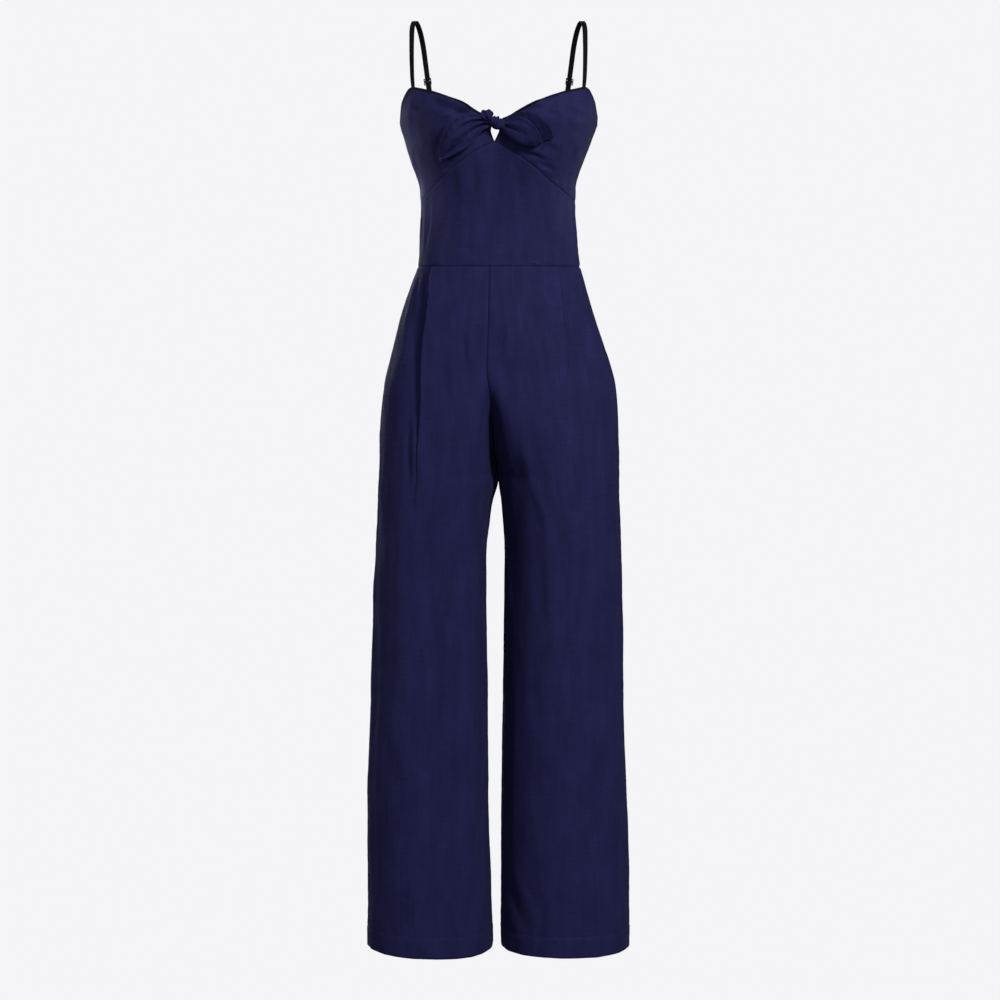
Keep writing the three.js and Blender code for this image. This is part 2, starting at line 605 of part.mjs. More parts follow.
// Columns of a front panel, as shares of the way from its inner edge to the pleat and on to its side
const FRONT_SHARES = {
  inside: [0, 0.16, 0.34, 0.52, 0.68, 0.82, 0.93, 1],
  outside: [0.035, 0.14, 0.34, 0.64, 1],
};
const BACK_SHARES = [0, 0.1, 0.2, 0.3, 0.4, 0.5, 0.6, 0.7, 0.8, 0.9, 1];

// Normal of a leg; at the waist it lies level, as the bodice's does.
function legNormal(side, face, angle, z) {
  const place = (turn, height) => {
    const { clip } = legSection(side, height);
    return legPoint(side, turn < 0 ? -face : face, Math.min(Math.abs(turn), clip), height);
  };
  const normal = surfaceNormal(place, angle, z, NORMAL_STEP).multiplyScalar(face);
  return z > WAIST_Z - LEVEL_NEAR_WAIST ? normal.setZ(0).normalize() : normal;
}

function legPanel(side, face, anglesAt) {
  const places = LEG_ROWS.map((z) => anglesAt(z).map((angle) => ({ angle, z })));
  const grid = places.map((row) => row.map(({ angle, z }) => legPoint(side, face, angle, z)));
  const normals = places.map((row) => row.map(({ angle, z }) => legNormal(side, face, angle, z)));
  return wall(grid, { outwards: side, normals, keep: keepIn(side, face) });
}

function trouserFrontGeometry(side) {
  return legPanel(side, FRONT, (z) => {
    const { clip } = legSection(side, z);
    const pleat = pleatAngle(side, z);
    return [
      ...FRONT_SHARES.inside.map((share) => lerp(clip, pleat, share)),
      ...FRONT_SHARES.outside.map((share) => lerp(pleat, 0, share)),
    ];
  });
}

function trouserBackGeometry(side) {
  return legPanel(side, BACK, (z) => BACK_SHARES.map((share) => lerp(0, legSection(side, z).clip, share)));
}

// The tie

const overCup = (x, z, height) => new THREE.Vector3(x, frontDepth(beforeSway(x, z), z) - height, z);

// The columns of a tail's table as curves over its length, a share from 0 to 1.
function tailCurves(rows) {
  const table = rows.map((row, i) => ({ ...row, along: i / (rows.length - 1) }));
  return tableCurves(table, "along", Object.keys(rows[0]));
}

function rightTailGeometry() {
  const curve = tailCurves(RIGHT_TAIL);
  const grid = gridOf(...RIGHT_TAIL_GRID, (across, along) => {
    const x = lerp(curve.upX(along), curve.lowX(along), across);
    const z = lerp(curve.upZ(along), curve.lowZ(along), across);
    const edges = lerp(curve.up(along), curve.low(along), across);
    const crown = curve.middle(along) - (curve.up(along) + curve.low(along)) / 2;
    return overCup(x, z, edges + crown * Math.sin(Math.PI * across));
  });
  return wall(grid, { thickness: TAIL_CLOTH, outwards: -1 });
}

function leftTailGeometry() {
  const curve = tailCurves(LEFT_TAIL);
  const grid = gridOf(...LEFT_TAIL_GRID, (across, along) => {
    const behind = across < 0.5;
    const away = Math.abs(across * 2 - 1);
    const edge = behind ? ["backX", "backZ"] : ["edgeX", "edgeZ"];
    const x = lerp(curve.foldX(along), curve[edge[0]](along), away);
    const z = lerp(curve.foldZ(along), curve[edge[1]](along), away);
    const middle = (LEFT_TAIL_BACK + curve.lift(along)) / 2;
    const rim = curve.rim(along) * away ** RIM_SHARPNESS;
    const target = behind ? LEFT_TAIL_BACK + rim : curve.lift(along);
    return overCup(x, z, lerp(middle, target, Math.sqrt(1 - (1 - away) ** FOLD_ROUNDNESS)));
  });
  return wall(grid, { thickness: TAIL_CLOTH, outwards: 1 });
}

// One turn of the knot: an ellipsoid with shallow ridges across its length. grow makes it larger all round.
function knotTurnGeometry({ x, z, halfLong, halfShort, halfDeep, turn, ridges, ridge }, grow = 0) {
  const geometry = new THREE.SphereGeometry(1, ...KNOT_GRID);
  const position = geometry.attributes.position;
  const point = new THREE.Vector3();
  for (let i = 0; i < position.count; i += 1) {
    point.fromBufferAttribute(position, i);
    const girth = Math.sqrt(Math.max(0, 1 - point.x ** 2));
    const swell = 1 + ridge * Math.cos(point.x * Math.PI * ridges) * girth;
    position.setXYZ(
      i,
      point.x * (halfLong + grow),
      point.y * swell * (halfShort + grow),
      point.z * swell * (halfDeep + grow),
    );
  }
  // the sphere's Y becomes the row's Z
  geometry.rotateX(Math.PI / 2);
  geometry.rotateY(-degrees(turn));
  geometry.translate(x, frontDepth(beforeSway(x, z), z) - KNOT_STANDS_OFF - halfDeep, z);
  return geometry;
}

function tieGeometries() {
  const band = solidOf(knotTurnGeometry(KNOT.band));
  const bandRoom = solidOf(knotTurnGeometry(KNOT.band, SEAM_GAP));
  const lobe = solidOf(knotTurnGeometry(KNOT.lobe)).subtract(bandRoom);
  const knotRoom = bandRoom.add(solidOf(knotTurnGeometry(KNOT.lobe, SEAM_GAP)));
  return {
    tie_knot_band: geometryFrom(band),
    tie_knot_lobe: geometryFrom(lobe),
    tie_tail_right: geometryFrom(solidOf(rightTailGeometry()).subtract(knotRoom)),
    tie_tail_left: geometryFrom(solidOf(leftTailGeometry()).subtract(knotRoom)),
  };
}

// Shoulder straps

// A point behind the bodice's outer face, with the normal there.
function behindBodice(side, deg, z, inwards) {
  const normal = bodiceNormal(side, deg, z).multiplyScalar(side);
  const point = bodicePoint(side, deg, z).addScaledVector(normal, -inwards);
  return { point: deg < 90 ? sway(point) : point, normal: normal.setZ(0).normalize() };
}

const RING_APART = RING.thick + 2 * RING_ROOM; // clear space inside what is folded round the ring

// The loop's two legs lie behind the back's wall, and the ring hangs in the plane between them.
function backAnchor(side) {
  const edgeZ = topEdge(STRAP_BACK_DEG);
  const middle = CLOTH + SEWN_GAP + LOOP.thick + SEAM_GAP / 2;
  return { ...behindBodice(side, STRAP_BACK_DEG, edgeZ, middle), edgeZ };
}

// A frame on the strap at a share of its length: along it, across its width, and out of its face.
function strapPath(side) {
  const inwards = CLOTH + SEWN_GAP + STRAP.thick / 2;
  const first = behindBodice(side, STRAP_FRONT.deg, STRAP_FRONT.z, inwards);
  const second = behindBodice(side, STRAP_FRONT.deg, STRAP_FRONT.edgeZ, inwards);
  const last = backAnchor(side);
  const ringTop = last.edgeZ + LOOP.above + RING.height - RING.bar;
  const end = last.point.clone().addScaledVector(last.normal, (RING_APART + STRAP.thick) / 2);
  end.setZ(ringTop);
  const turnAt = (normal) => (-Math.atan2(normal.x * side, normal.y) * 180) / Math.PI;
  const route = STRAP_ROUTE.map((row) => new THREE.Vector3(side * row.x, row.y, row.z));
  const beforeEnd = end.clone().setZ(ringTop + STRAIGHT_END);
  const points = [first.point, second.point, ...route, beforeEnd, end];
  const frontTurns = [first, second].map(({ normal }) => turnAt(normal) + 180);
  const backTurn = turnAt(last.normal);
  const turns = [...frontTurns, ...STRAP_ROUTE.map((row) => row.turn), backTurn, backTurn];
  const curve = new THREE.CatmullRomCurve3(points, false, "centripetal");
  curve.arcLengthDivisions = 1200;
  const turnRows = turns.map((value, i) => ({ at: i / (turns.length - 1), value }));
  const turn = columnCurve(turnRows, "at", "value");
  const frame = (share) => {
    const at = curve.getUtoTmapping(share);
    const along = curve.getTangent(at);
    const angle = degrees(turn(at));
    const width = new THREE.Vector3(side * Math.cos(angle), Math.sin(angle), 0);
    const out = width.clone().cross(along).multiplyScalar(side).normalize();
    width.copy(along.clone().cross(out).multiplyScalar(side).normalize());
    return { point: curve.getPoint(at), along, width, out };
  };
  return { frame, length: curve.getLength() };
}

function lifted(frame, lift) {
  return { ...frame, point: frame.point.clone().addScaledVector(frame.out, lift) };
}

// A ribbon of rectangular section through a list of frames.
function ribbonGeometry(frames, { width, thick }) {
  const points = [];
  const index = [];
  const corners = [[-1, -1], [1, -1], [1, 1], [-1, 1]];
  for (const frame of frames) {
    for (const [across, out] of corners) {
      const edge = frame.point.clone().addScaledVector(frame.width, (across * width) / 2);
      points.push(edge.addScaledVector(frame.out, (out * thick) / 2));
    }
  }
  const size = corners.length;
  for (let i = 0; i < frames.length - 1; i += 1) {
    for (let j = 0; j < size; j += 1) {
      const a = i * size + j;
      const b = i * size + ((j + 1) % size);
      index.push(a, b, b + size, a, b + size, a + size);
    }
  }
  const last = (frames.length - 1) * size;
  index.push(0, 2, 1, 0, 3, 2);
  index.push(last, last + 1, last + 2, last, last + 2, last + 3);
  return facingOut(geometryOf(points, index));
}

// Turns a closed geometry's faces round if they point inwards.
function facingOut(geometry) {
  if (solidOf(geometry).volume() < 0) {
    const index = geometry.index.array;
    for (let i = 0; i < index.length; i += 3) {
      [index[i + 1], index[i + 2]] = [index[i + 2], index[i + 1]];
    }
    geometry.computeVertexNormals();
  }
  return geometry;
}

// Frames of a half turn round a ring's bar, from one side of its plane to the other.
function halfTurn(end, apart) {
  const pivot = end.point.clone().addScaledVector(end.out, -apart / 2);
  const frames = [];
  for (let i = 1; i < TURN_STEPS; i += 1) {
    const angle = (Math.PI * i) / TURN_STEPS;
    const out = end.out.clone().multiplyScalar(Math.cos(angle));
    out.addScaledVector(end.along, Math.sin(angle));
    frames.push({ point: pivot.clone().addScaledVector(out, apart / 2), width: end.width, out });
  }
  return frames;
}

// The strap runs over the slider's middle bar and down to the ring, turns round the ring's upper bar and
// comes back behind itself to the slider.
function strapGeometry(side) {
  const { frame, length } = strapPath(side);
  const middle = 1 - SLIDER.fromRing / length;
  const slopeFrom = SLIDER.bar / 2 + SLOPE_ROOM;
  const slopeTo = SLIDER.height / 2 - SLIDER.bar - SLOPE_ROOM;
  const crest = SLIDER.lift + SLIDER.thick / 2 + SEAM_GAP + STRAP.thick / 2;
  const crossing = [
    { along: -slopeTo, lift: 0 },
    { along: -slopeFrom, lift: crest },
    { along: slopeFrom, lift: crest },
    { along: slopeTo, lift: 0 },
  ];
  const plainTo = middle - slopeTo / length;
  const plainFrom = middle + slopeTo / length;
  const frames = [];
  for (let i = 0; i < STRAP_STEPS; i += 1) frames.push(frame((plainTo * i) / STRAP_STEPS));
  for (const { along, lift } of crossing) frames.push(lifted(frame(middle + along / length), lift));
  for (let i = 1; i <= STRAP_LOW_STEPS; i += 1) {
    frames.push(frame(lerp(plainFrom, 1, i / STRAP_LOW_STEPS)));
  }
  const apart = RING_APART + STRAP.thick;
  frames.push(...halfTurn(frame(1), apart));
  for (let i = 0; i <= STRAP_LOW_STEPS; i += 1) {
    const share = i / STRAP_LOW_STEPS;
    const close = lerp(apart, STRAP.thick + SEAM_GAP, Math.min(1, share * 2));
    const back = lifted(frame(lerp(1, middle, share)), -close);
    frames.push({ ...back, out: back.out.clone().negate() });
  }
  return ribbonGeometry(frames, STRAP);
}

// A loop of strap behind the back's upper edge, folded round the ring's lower bar.
function loopGeometry(side) {
  const { point, normal, edgeZ } = backAnchor(side);
  const width = new THREE.Vector3(-normal.y, normal.x, 0);
  const apart = RING_APART + LOOP.thick;
  const outwards = (leg) => (leg === 0 ? normal : normal.clone().negate());
  // both legs follow the wall below its edge, then part to either side of the bar
  const sewn = (leg, z) => {
    const inwards = CLOTH + SEWN_GAP + LOOP.thick / 2 + leg * (LOOP.thick + SEAM_GAP);
    return { point: behindBodice(side, STRAP_BACK_DEG, z, inwards).point, width, out: outwards(leg) };
  };
  const at = (leg, z, out) => ({
    point: point.clone().setZ(z).addScaledVector(outwards(leg), out), width, out: outwards(leg),
  });
  const legUp = (leg) => [
    sewn(leg, edgeZ - LOOP.below),
    sewn(leg, edgeZ - LOOP.below / 2),
    sewn(leg, edgeZ),
    at(leg, edgeZ + LOOP.partFrom, apart / 2),
    at(leg, edgeZ + LOOP.above, apart / 2),
  ];
  const top = { ...at(0, edgeZ + LOOP.above, apart / 2), along: new THREE.Vector3(0, 0, 1) };
  return ribbonGeometry([...legUp(0), ...halfTurn(top, apart), ...legUp(1).reverse()], LOOP);
}

// A flat frame of rectangular bars in the XY plane, with windows one above another.
function barFrameGeometry({ width, height, bar, thick }, windows) {
  const rectangle = (shape, w, h, y) => {
    shape.moveTo(-w / 2, y - h / 2);
    shape.lineTo(w / 2, y - h / 2);
    shape.lineTo(w / 2, y + h / 2);
    shape.lineTo(-w / 2, y + h / 2);
    shape.closePath();
    return shape;
  };
  const shape = rectangle(new THREE.Shape(), width, height, 0);
  const clear = (height - bar * (windows + 1)) / windows;
  for (let i = 0; i < windows; i += 1) {
    const y = -height / 2 + bar + clear / 2 + i * (clear + bar);
    shape.holes.push(rectangle(new THREE.Path(), width - 2 * bar, clear, y));
  }
  const geometry = new THREE.ExtrudeGeometry(shape, { depth: thick, bevelEnabled: false });
  return geometry.translate(0, 0, -thick / 2);
}

// Lays a flat geometry on a frame: its X across, its Z out of the face.
function laidOn(geometry, point, across, out) {
  const up = out.clone().cross(across);
  return geometry.applyMatrix4(new THREE.Matrix4().makeBasis(across, up, out).setPosition(point));
}

function sliderGeometry(side) {
  const { frame, length } = strapPath(side);
  const { point, width, out } = lifted(frame(1 - SLIDER.fromRing / length), SLIDER.lift);
  return laidOn(barFrameGeometry(SLIDER, 2), point, width, out);
}

function ringGeometry(side) {
  const { point, normal, edgeZ } = backAnchor(side);
  const centre = point.clone().setZ(edgeZ + LOOP.above + (RING.height - RING.bar) / 2);
  return laidOn(barFrameGeometry(RING, 1), centre, new THREE.Vector3(-normal.y, normal.x, 0), normal);
}

// Zip

// Depth of the back, bodice or trousers, at a point of the back view.
function backDepth(x, z) {
  const level = (share) => (1 - Math.abs(share) ** SQUARENESS) ** (1 / SQUARENESS);
  if (z > WAIST_Z) return bodice.back(z) * level(x / halfWidth(x, z));
  const leg = legSection(x < 0 ? RIGHT : LEFT, z);
  const fromCentre = Math.abs(x) - leg.centre;
  return trousers.back(z) * level(fromCentre / (fromCentre > 0 ? leg.outReach : leg.inReach));
}

const boxAt = (x, y, z, wide, deep, high) =>
  new THREE.BoxGeometry(wide, deep, high).translate(x, y, z);

// One of the zip's two tapes, behind the seam of the back.
function zipTapeGeometry(side) {
  const inwards = CLOTH + ZIP.gap;
  const grid = gridOf(ZIP.rows, TAPE_COLUMNS, (down, across) => {
    const z = lerp(ZIP.topZ, ZIP.lowZ, down);
    const x = side * lerp(z > SLOT.lowZ ? SLOT.half : HALF_GAP, ZIP.half, across);
    return new THREE.Vector3(x, backDepth(x, z) - inwards, z);
  });
  return wall(grid, { thickness: ZIP.thick, outwards: -side });
}

// The slider: a body behind the tapes, a neck through the seam and a bridge outside that holds the pin.
function zipSliderGeometry() {
  const { width, height, thick, inner, standsOff, neckWidth, neckHeight, z } = ZIP_SLIDER;
  const face = backDepth(0, z);
  const innerFace = -CLOTH - ZIP.gap - ZIP.thick - ZIP_SLIDER.clear;
  const neckDeep = standsOff - innerFace + thick;
  const parts = [
    boxAt(0, face + innerFace - inner / 2, z, width, inner, height),
    boxAt(0, face + (innerFace + standsOff) / 2, z, neckWidth, neckDeep, neckHeight),
    boxAt(0, face + standsOff + thick / 2, z, width, thick, height),
  ];
  const cheekDeep = ZIP_PIN.out - standsOff;
  const cheekWide = ZIP_PIN.cheekTo - ZIP_PIN.cheekFrom;
  for (const side of [RIGHT, LEFT]) {
    const x = (side * (ZIP_PIN.cheekFrom + ZIP_PIN.cheekTo)) / 2;
    const y = face + standsOff + cheekDeep / 2 + ZIP_PIN.radius;
    parts.push(boxAt(x, y, z, cheekWide, cheekDeep + ZIP_PIN.lap, ZIP_PIN.cheekHigh));
  }
  const pinLength = 2 * (ZIP_PIN.cheekTo - ZIP_PIN.short);
  const pin = new THREE.CylinderGeometry(ZIP_PIN.radius, ZIP_PIN.radius, pinLength, 16);
  parts.push(pin.rotateZ(Math.PI / 2).translate(0, face + ZIP_PIN.out, z));
  const [first, ...rest] = parts.map(solidOf);
  return geometryFrom(rest.reduce((whole, part) => whole.add(part), first));
}

// The pull: an eye round the pin and a flat drop below it.
function zipPullGeometry() {
  const { eyeWidth, eyeOuter, eyeHole, long, neck, wide, thick, bendFrom, bendTo } = ZIP_PULL;
  const ring = new THREE.Shape().absarc(0, 0, eyeOuter, 0, 2 * Math.PI, false);
  ring.holes.push(new THREE.Path().absarc(0, 0, eyeHole, 0, 2 * Math.PI, true));
  const eye = new THREE.ExtrudeGeometry(ring, { depth: eyeWidth, bevelEnabled: false, curveSegments: 10 });
  eye.translate(0, 0, -eyeWidth / 2).rotateY(Math.PI / 2);
  const top = -(eyeHole + eyeOuter) / 2;
  const drop = new THREE.Shape().moveTo(-neck / 2, top);
  drop.bezierCurveTo(-neck / 2, -long * bendFrom, -wide, -long * bendTo, -wide, -long + wide);
  drop.absarc(0, -long + wide, wide, Math.PI, 2 * Math.PI, false);
  drop.bezierCurveTo(wide, -long * bendTo, neck / 2, -long * bendFrom, neck / 2, top);
  drop.closePath();
  const plate = new THREE.ExtrudeGeometry(drop, { depth: thick, bevelEnabled: false, curveSegments: 8 });
  plate.translate(0, 0, -thick / 2).rotateX(Math.PI / 2);
  return geometryFrom(solidOf(eye).add(solidOf(plate)));
}

const slotZ = (SLOT.topZ + SLOT.lowZ) / 2;
const slotFace = backDepth(0, ZIP_SLIDER.z);
const slot = boxAt(0, slotFace, slotZ, 2 * SLOT.half, SLOT.deep, SLOT.topZ - SLOT.lowZ);
const slotted = (geometry) => geometryFrom(solidOf(geometry).subtract(solidOf(slot)));

// The whole garment

const group = new THREE.Group();

function add(name, geometry, material) {
  const mesh = new THREE.Mesh(geometry, material.clone());
  mesh.name = name;
  group.add(mesh);
  return mesh;
}

for (const [side, word] of [[RIGHT, "right"], [LEFT, "left"]]) {
  add(`cup_${word}`, cupGeometry(side), NAVY_LINEN);
  add(`bodice_back_${word}`, slotted(bodiceBackGeometry(side)), NAVY_LINEN);
  add(`trouser_front_${word}`, trouserFrontGeometry(side), NAVY_LINEN);
  add(`trouser_back_${word}`, trouserBackGeometry(side), NAVY_LINEN);
  add(`strap_${word}`, strapGeometry(side), NAVY_STRAP);
  add(`strap_loop_${word}`, loopGeometry(side), NAVY_STRAP);
  add(`strap_slider_${word}`, sliderGeometry(side), NAVY_METAL);
  add(`strap_ring_${word}`, ringGeometry(side), NAVY_METAL);
  add(`zip_tape_${word}`, zipTapeGeometry(side), NAVY_STRAP);
}
add("midriff", midriffGeometry(), NAVY_LINEN);
for (const [name, geometry] of Object.entries(tieGeometries())) add(name, geometry, NAVY_LINEN);
add("zip_slider", zipSliderGeometry(), NAVY_METAL);
const pull = add("zip_pull", zipPullGeometry(), NAVY_METAL);
pull.position.set(0, backDepth(0, ZIP_SLIDER.z) + ZIP_PIN.out, ZIP_SLIDER.z);

export default group;
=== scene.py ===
# A sleeveless navy linen jumpsuit with a front tied in a knot, filled out as it is worn but empty.
# Tables and shapes are in millimetres, +Z up, the front faces -Y and the wearer's right side is at -X.
# Meshes are made in metres.
import math
from collections import namedtuple

import bmesh
import bpy
import numpy as np
from mathutils import Matrix, Vector


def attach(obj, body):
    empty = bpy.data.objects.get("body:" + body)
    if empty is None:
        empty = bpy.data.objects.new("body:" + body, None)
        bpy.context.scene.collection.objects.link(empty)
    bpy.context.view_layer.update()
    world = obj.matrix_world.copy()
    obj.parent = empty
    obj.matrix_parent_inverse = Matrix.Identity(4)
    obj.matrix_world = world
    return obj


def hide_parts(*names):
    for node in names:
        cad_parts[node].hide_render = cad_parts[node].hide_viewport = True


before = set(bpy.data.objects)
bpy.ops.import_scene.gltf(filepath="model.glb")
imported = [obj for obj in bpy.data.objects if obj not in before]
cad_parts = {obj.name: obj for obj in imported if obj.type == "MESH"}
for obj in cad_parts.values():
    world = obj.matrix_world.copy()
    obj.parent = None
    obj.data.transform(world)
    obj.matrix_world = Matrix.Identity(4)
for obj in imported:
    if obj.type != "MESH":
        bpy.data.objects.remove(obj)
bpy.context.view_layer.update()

MM = 0.001
RIGHT, LEFT = -1, 1
FRONT, BACK = -1, 1
SIDES = {"right": RIGHT, "left": LEFT}

# Driving dimensions, as in the frame
CLOTH = 1.2
WAIST_Z = -368
CROTCH_Z = -684
HEM_Z = -1410
HEM_DIP = {RIGHT: 3.5, LEFT: 2}
HEM_SKEW = {RIGHT: 0.9, LEFT: -0.4}
DIP_FROM_Z = -1200
SQUARENESS = 2.3
HEM_DEEP = 30
CORNER_DEG = 60


class Curve:
    """Smooth curve through places that rise or fall, which never swings past its values."""

    def __init__(self, places, values):
        order = np.argsort(places)
        self.at = np.array(places, float)[order]
        self.value = np.array(values, float)[order]
        chord = np.diff(self.value) / np.diff(self.at)
        before, after = chord[:-1], chord[1:]
        turns = before * after <= 0
        inside = np.where(turns, 0, 2 * before * after / np.where(turns, 1, before + after))
        self.slope = np.concatenate([chord[:1], inside, chord[-1:]])

    def __call__(self, place):
        place = np.clip(place, self.at[0], self.at[-1])
        i = np.clip(np.searchsorted(self.at, place, side="right") - 1, 0, len(self.at) - 2)
        span = self.at[i + 1] - self.at[i]
        t = (place - self.at[i]) / span
        rest = 1 - t
        return (
            self.value[i] * (1 + 2 * t) * rest**2
            + self.slope[i] * span * t * rest**2
            + self.value[i + 1] * t**2 * (3 - 2 * t)
            - self.slope[i + 1] * span * t**2 * rest
        )


def curves(columns, rows):
    """One curve for each named column, by the first column."""
    names = columns.split()
    by_column = list(zip(*rows))
    return {name: Curve(by_column[0], values) for name, values in zip(names[1:], by_column[1:])}


# Sections of the bodice: half-widths to the wearer's right and left, depths to the front and back
BODICE = curves("z right left front back", [
    (-95, 145, 145, 92, 86),
    (-125, 148.5, 148.5, 101, 89),
    (-150, 149, 149.3, 105, 91),
    (-180, 141.5, 140, 104, 91.5),
    (-215, 131, 127, 101, 88),
    (-250, 119.3, 116.5, 96, 82),
    (-290, 117.5, 116.3, 91.5, 78),
    (-330, 118.8, 119.5, 90, 78.5),
    (WAIST_Z, 122.5, 124, 92, 84),
])
CUP_MOUND = {"x": 82, "z": -158, "height": 26, "spread_x": 38, "spread_z": 42}
CUP_HOLLOW = {"z": -165, "depth": 6, "spread_x": 22, "spread_z": 30}

# Upper edge of the bodice and the seam under the cups, by the angle from the middle of the front
NECKLINE = curves("deg z", [
    (0, -153), (3.7, -148.4), (9.6, -139.9), (15.4, -131.4), (20.4, -125.6), (30, -116.3),
    (39, -110), (50.4, -104.8), (CORNER_DEG, -101),
])["z"]
ARMHOLE = curves("deg z", [
    (CORNER_DEG, -101), (65, -104.5), (72, -115.5), (80, -131), (90, -150), (105, -162),
    (130, -173), (155, -181), (180, -184),
])["z"]
UNDERBUST = curves("deg z", [
    (0, -185), (11, -202), (22.4, -218.5), (40.6, -241.5), (58, -257), (73, -267), (90, -271),
])["z"]
KEYHOLE = curves("z half", [(-185, 0.2), (-176, 4), (-168, 6.6), (-150, 6), (-143, 4)])["half"]

# How far the middle of the front has swung to the wearer's left
FRONT_SWAY = curves("z x", [
    (-105, 0), (-123, -1.5), (-140, -2), (-150, 0), (-168, -5), (-185, -6), (-280, -9), (WAIST_Z, -14),
    (-448, -15.5), (-520, -17.5), (-560, -13), (-600, -9.6), (-640, -7), (CROTCH_Z, 0),
])["x"]

# Sections of the trousers: outer and inner edges of each leg, depths, and how far the leg has its own
# centre (lean) and the rise seam has turned under (rise)
TROUSERS = curves("z out_right out_left in_right in_left front back lean rise", [
    (WAIST_Z, 122.5, 124, 0, 0, 92, 84, 0, 0),
    (-406, 136, 134.6, 0, 0, 96, 93, 0.06, 0.02),
    (-442, 148.4, 145.3, 0, 0, 99.5, 102, 0.12, 0.05),
    (-479, 157.6, 157.6, 0, 0, 102, 110, 0.2, 0.09),
    (-515, 167, 170, 0, 0, 104, 116, 0.3, 0.15),
    (-552, 174.6, 179.2, 0, 0, 105, 119.5, 0.45, 0.27),
    (-600, 179, 182.5, 0, 0, 105, 120, 0.68, 0.5),
    (-630, 181, 183, 0, 0, 104.5, 118.5, 0.83, 0.69),
    (-655, 181.3, 184, 0, 0, 104, 116.8, 0.93, 0.85),
    (-672, 182, 184, 0, 0, 103.5, 115.3, 0.98, 0.945),
    (CROTCH_Z, 182.4, 184.2, 0, 0, 103, 114, 1, 1),
    (-735, 184.4, 184.8, 11, 5.4, 101, 109.5, 1, 1),
    (-809, 187.7, 187.7, 18.5, 9.5, 98.5, 104, 1, 1),
    (-883, 191, 189.5, 19.2, 8.8, 97, 101, 1, 1),
    (-1032, 196.2, 191.8, 16.5, 6.9, 95.5, 97.5, 1, 1),
    (-1181, 202, 198, 15.5, 4.5, 95, 96, 1, 1),
    (-1300, 202, 202, 12, 3.8, 95, 95.5, 1, 1),
    (HEM_Z, 202.2, 202.2, 8.6, 3.8, 95, 95, 1, 1),
])

# Pressed pleat of each front: its distance from the middle and the height of its step
PLEATS = {
    RIGHT: curves("z x height", [
        (WAIST_Z, 91.6, 3.5), (-384, 91.8, 11), (-426, 93, 14), (-473, 99.2, 13), (-529, 102.8, 10),
        (-578, 107.5, 7), (-629, 114, 4), (-700, 122, 1.5), (-760, 126, 0), (HEM_Z, 126, 0),
    ]),
    LEFT: curves("z x height", [
        (WAIST_Z, 96.5, 1.2), (-395, 99, 3), (-440, 104, 2.6), (-500, 112, 1.4), (-580, 118, 0),
        (HEM_Z, 126, 0),
    ]),
}
PLEAT_STEP = 2.2
PLEAT_INNER = 30
PLEAT_OUTER = 14
PLEAT_EASE = 2.5

# How deep the fronts are tucked in along the rise seam, as a share of their depth there
RISE_TUCK = curves("z share", [
    (WAIST_Z, 0), (-540, 0), (-570, 0.1), (-600, 0.3), (-645, 0.52), (-674, 0.62), (CROTCH_Z, 0.4), (-715, 0),
    (HEM_Z, 0),
])["share"]
RISE_TUCK_WIDTH = 7

# How folds and creases fade at their ends, and how deep and wide the cloth sinks beside a crease
FOLD_TAPER = 0.6
BESIDE_DEEP = 0.3
BESIDE_WIDE = 2.4
CREASE_FACING = (0.1, 0.5)
CREASE_REACH = 5

# Long soft folds of the legs: where each runs, its width and its height, negative for a trough
LegFold = namedtuple("LegFold", "side face top_x low_x top_z low_z width height")
LEG_FOLDS = [
    LegFold(RIGHT, FRONT, 60, 48, -560, -1390, 20, 2.5),
    LegFold(RIGHT, FRONT, 100, 92, -700, -1400, 24, -3),
    LegFold(RIGHT, FRONT, 150, 158, -640, -1350, 22, 2.5),
    LegFold(LEFT, FRONT, 34, 26, -600, -1330, 15, -3.5),
    LegFold(LEFT, FRONT, 78, 84, -520, -1380, 26, 3),
    LegFold(LEFT, FRONT, 140, 138, -600, -1400, 22, -2.5),
    LegFold(RIGHT, BACK, 62, 50, -640, -1390, 20, 3.5),
    LegFold(RIGHT, BACK, 112, 106, -620, -1400, 24, -3.5),
    LegFold(RIGHT, BACK, 155, 160, -700, -1380, 20, 2.5),
    LegFold(LEFT, BACK, 58, 66, -640, -1400, 22, 3.5),
    LegFold(LEFT, BACK, 104, 118, -600, -1390, 22, -3.5),
    LegFold(LEFT, BACK, 156, 160, -680, -1360, 18, 2.5),
]

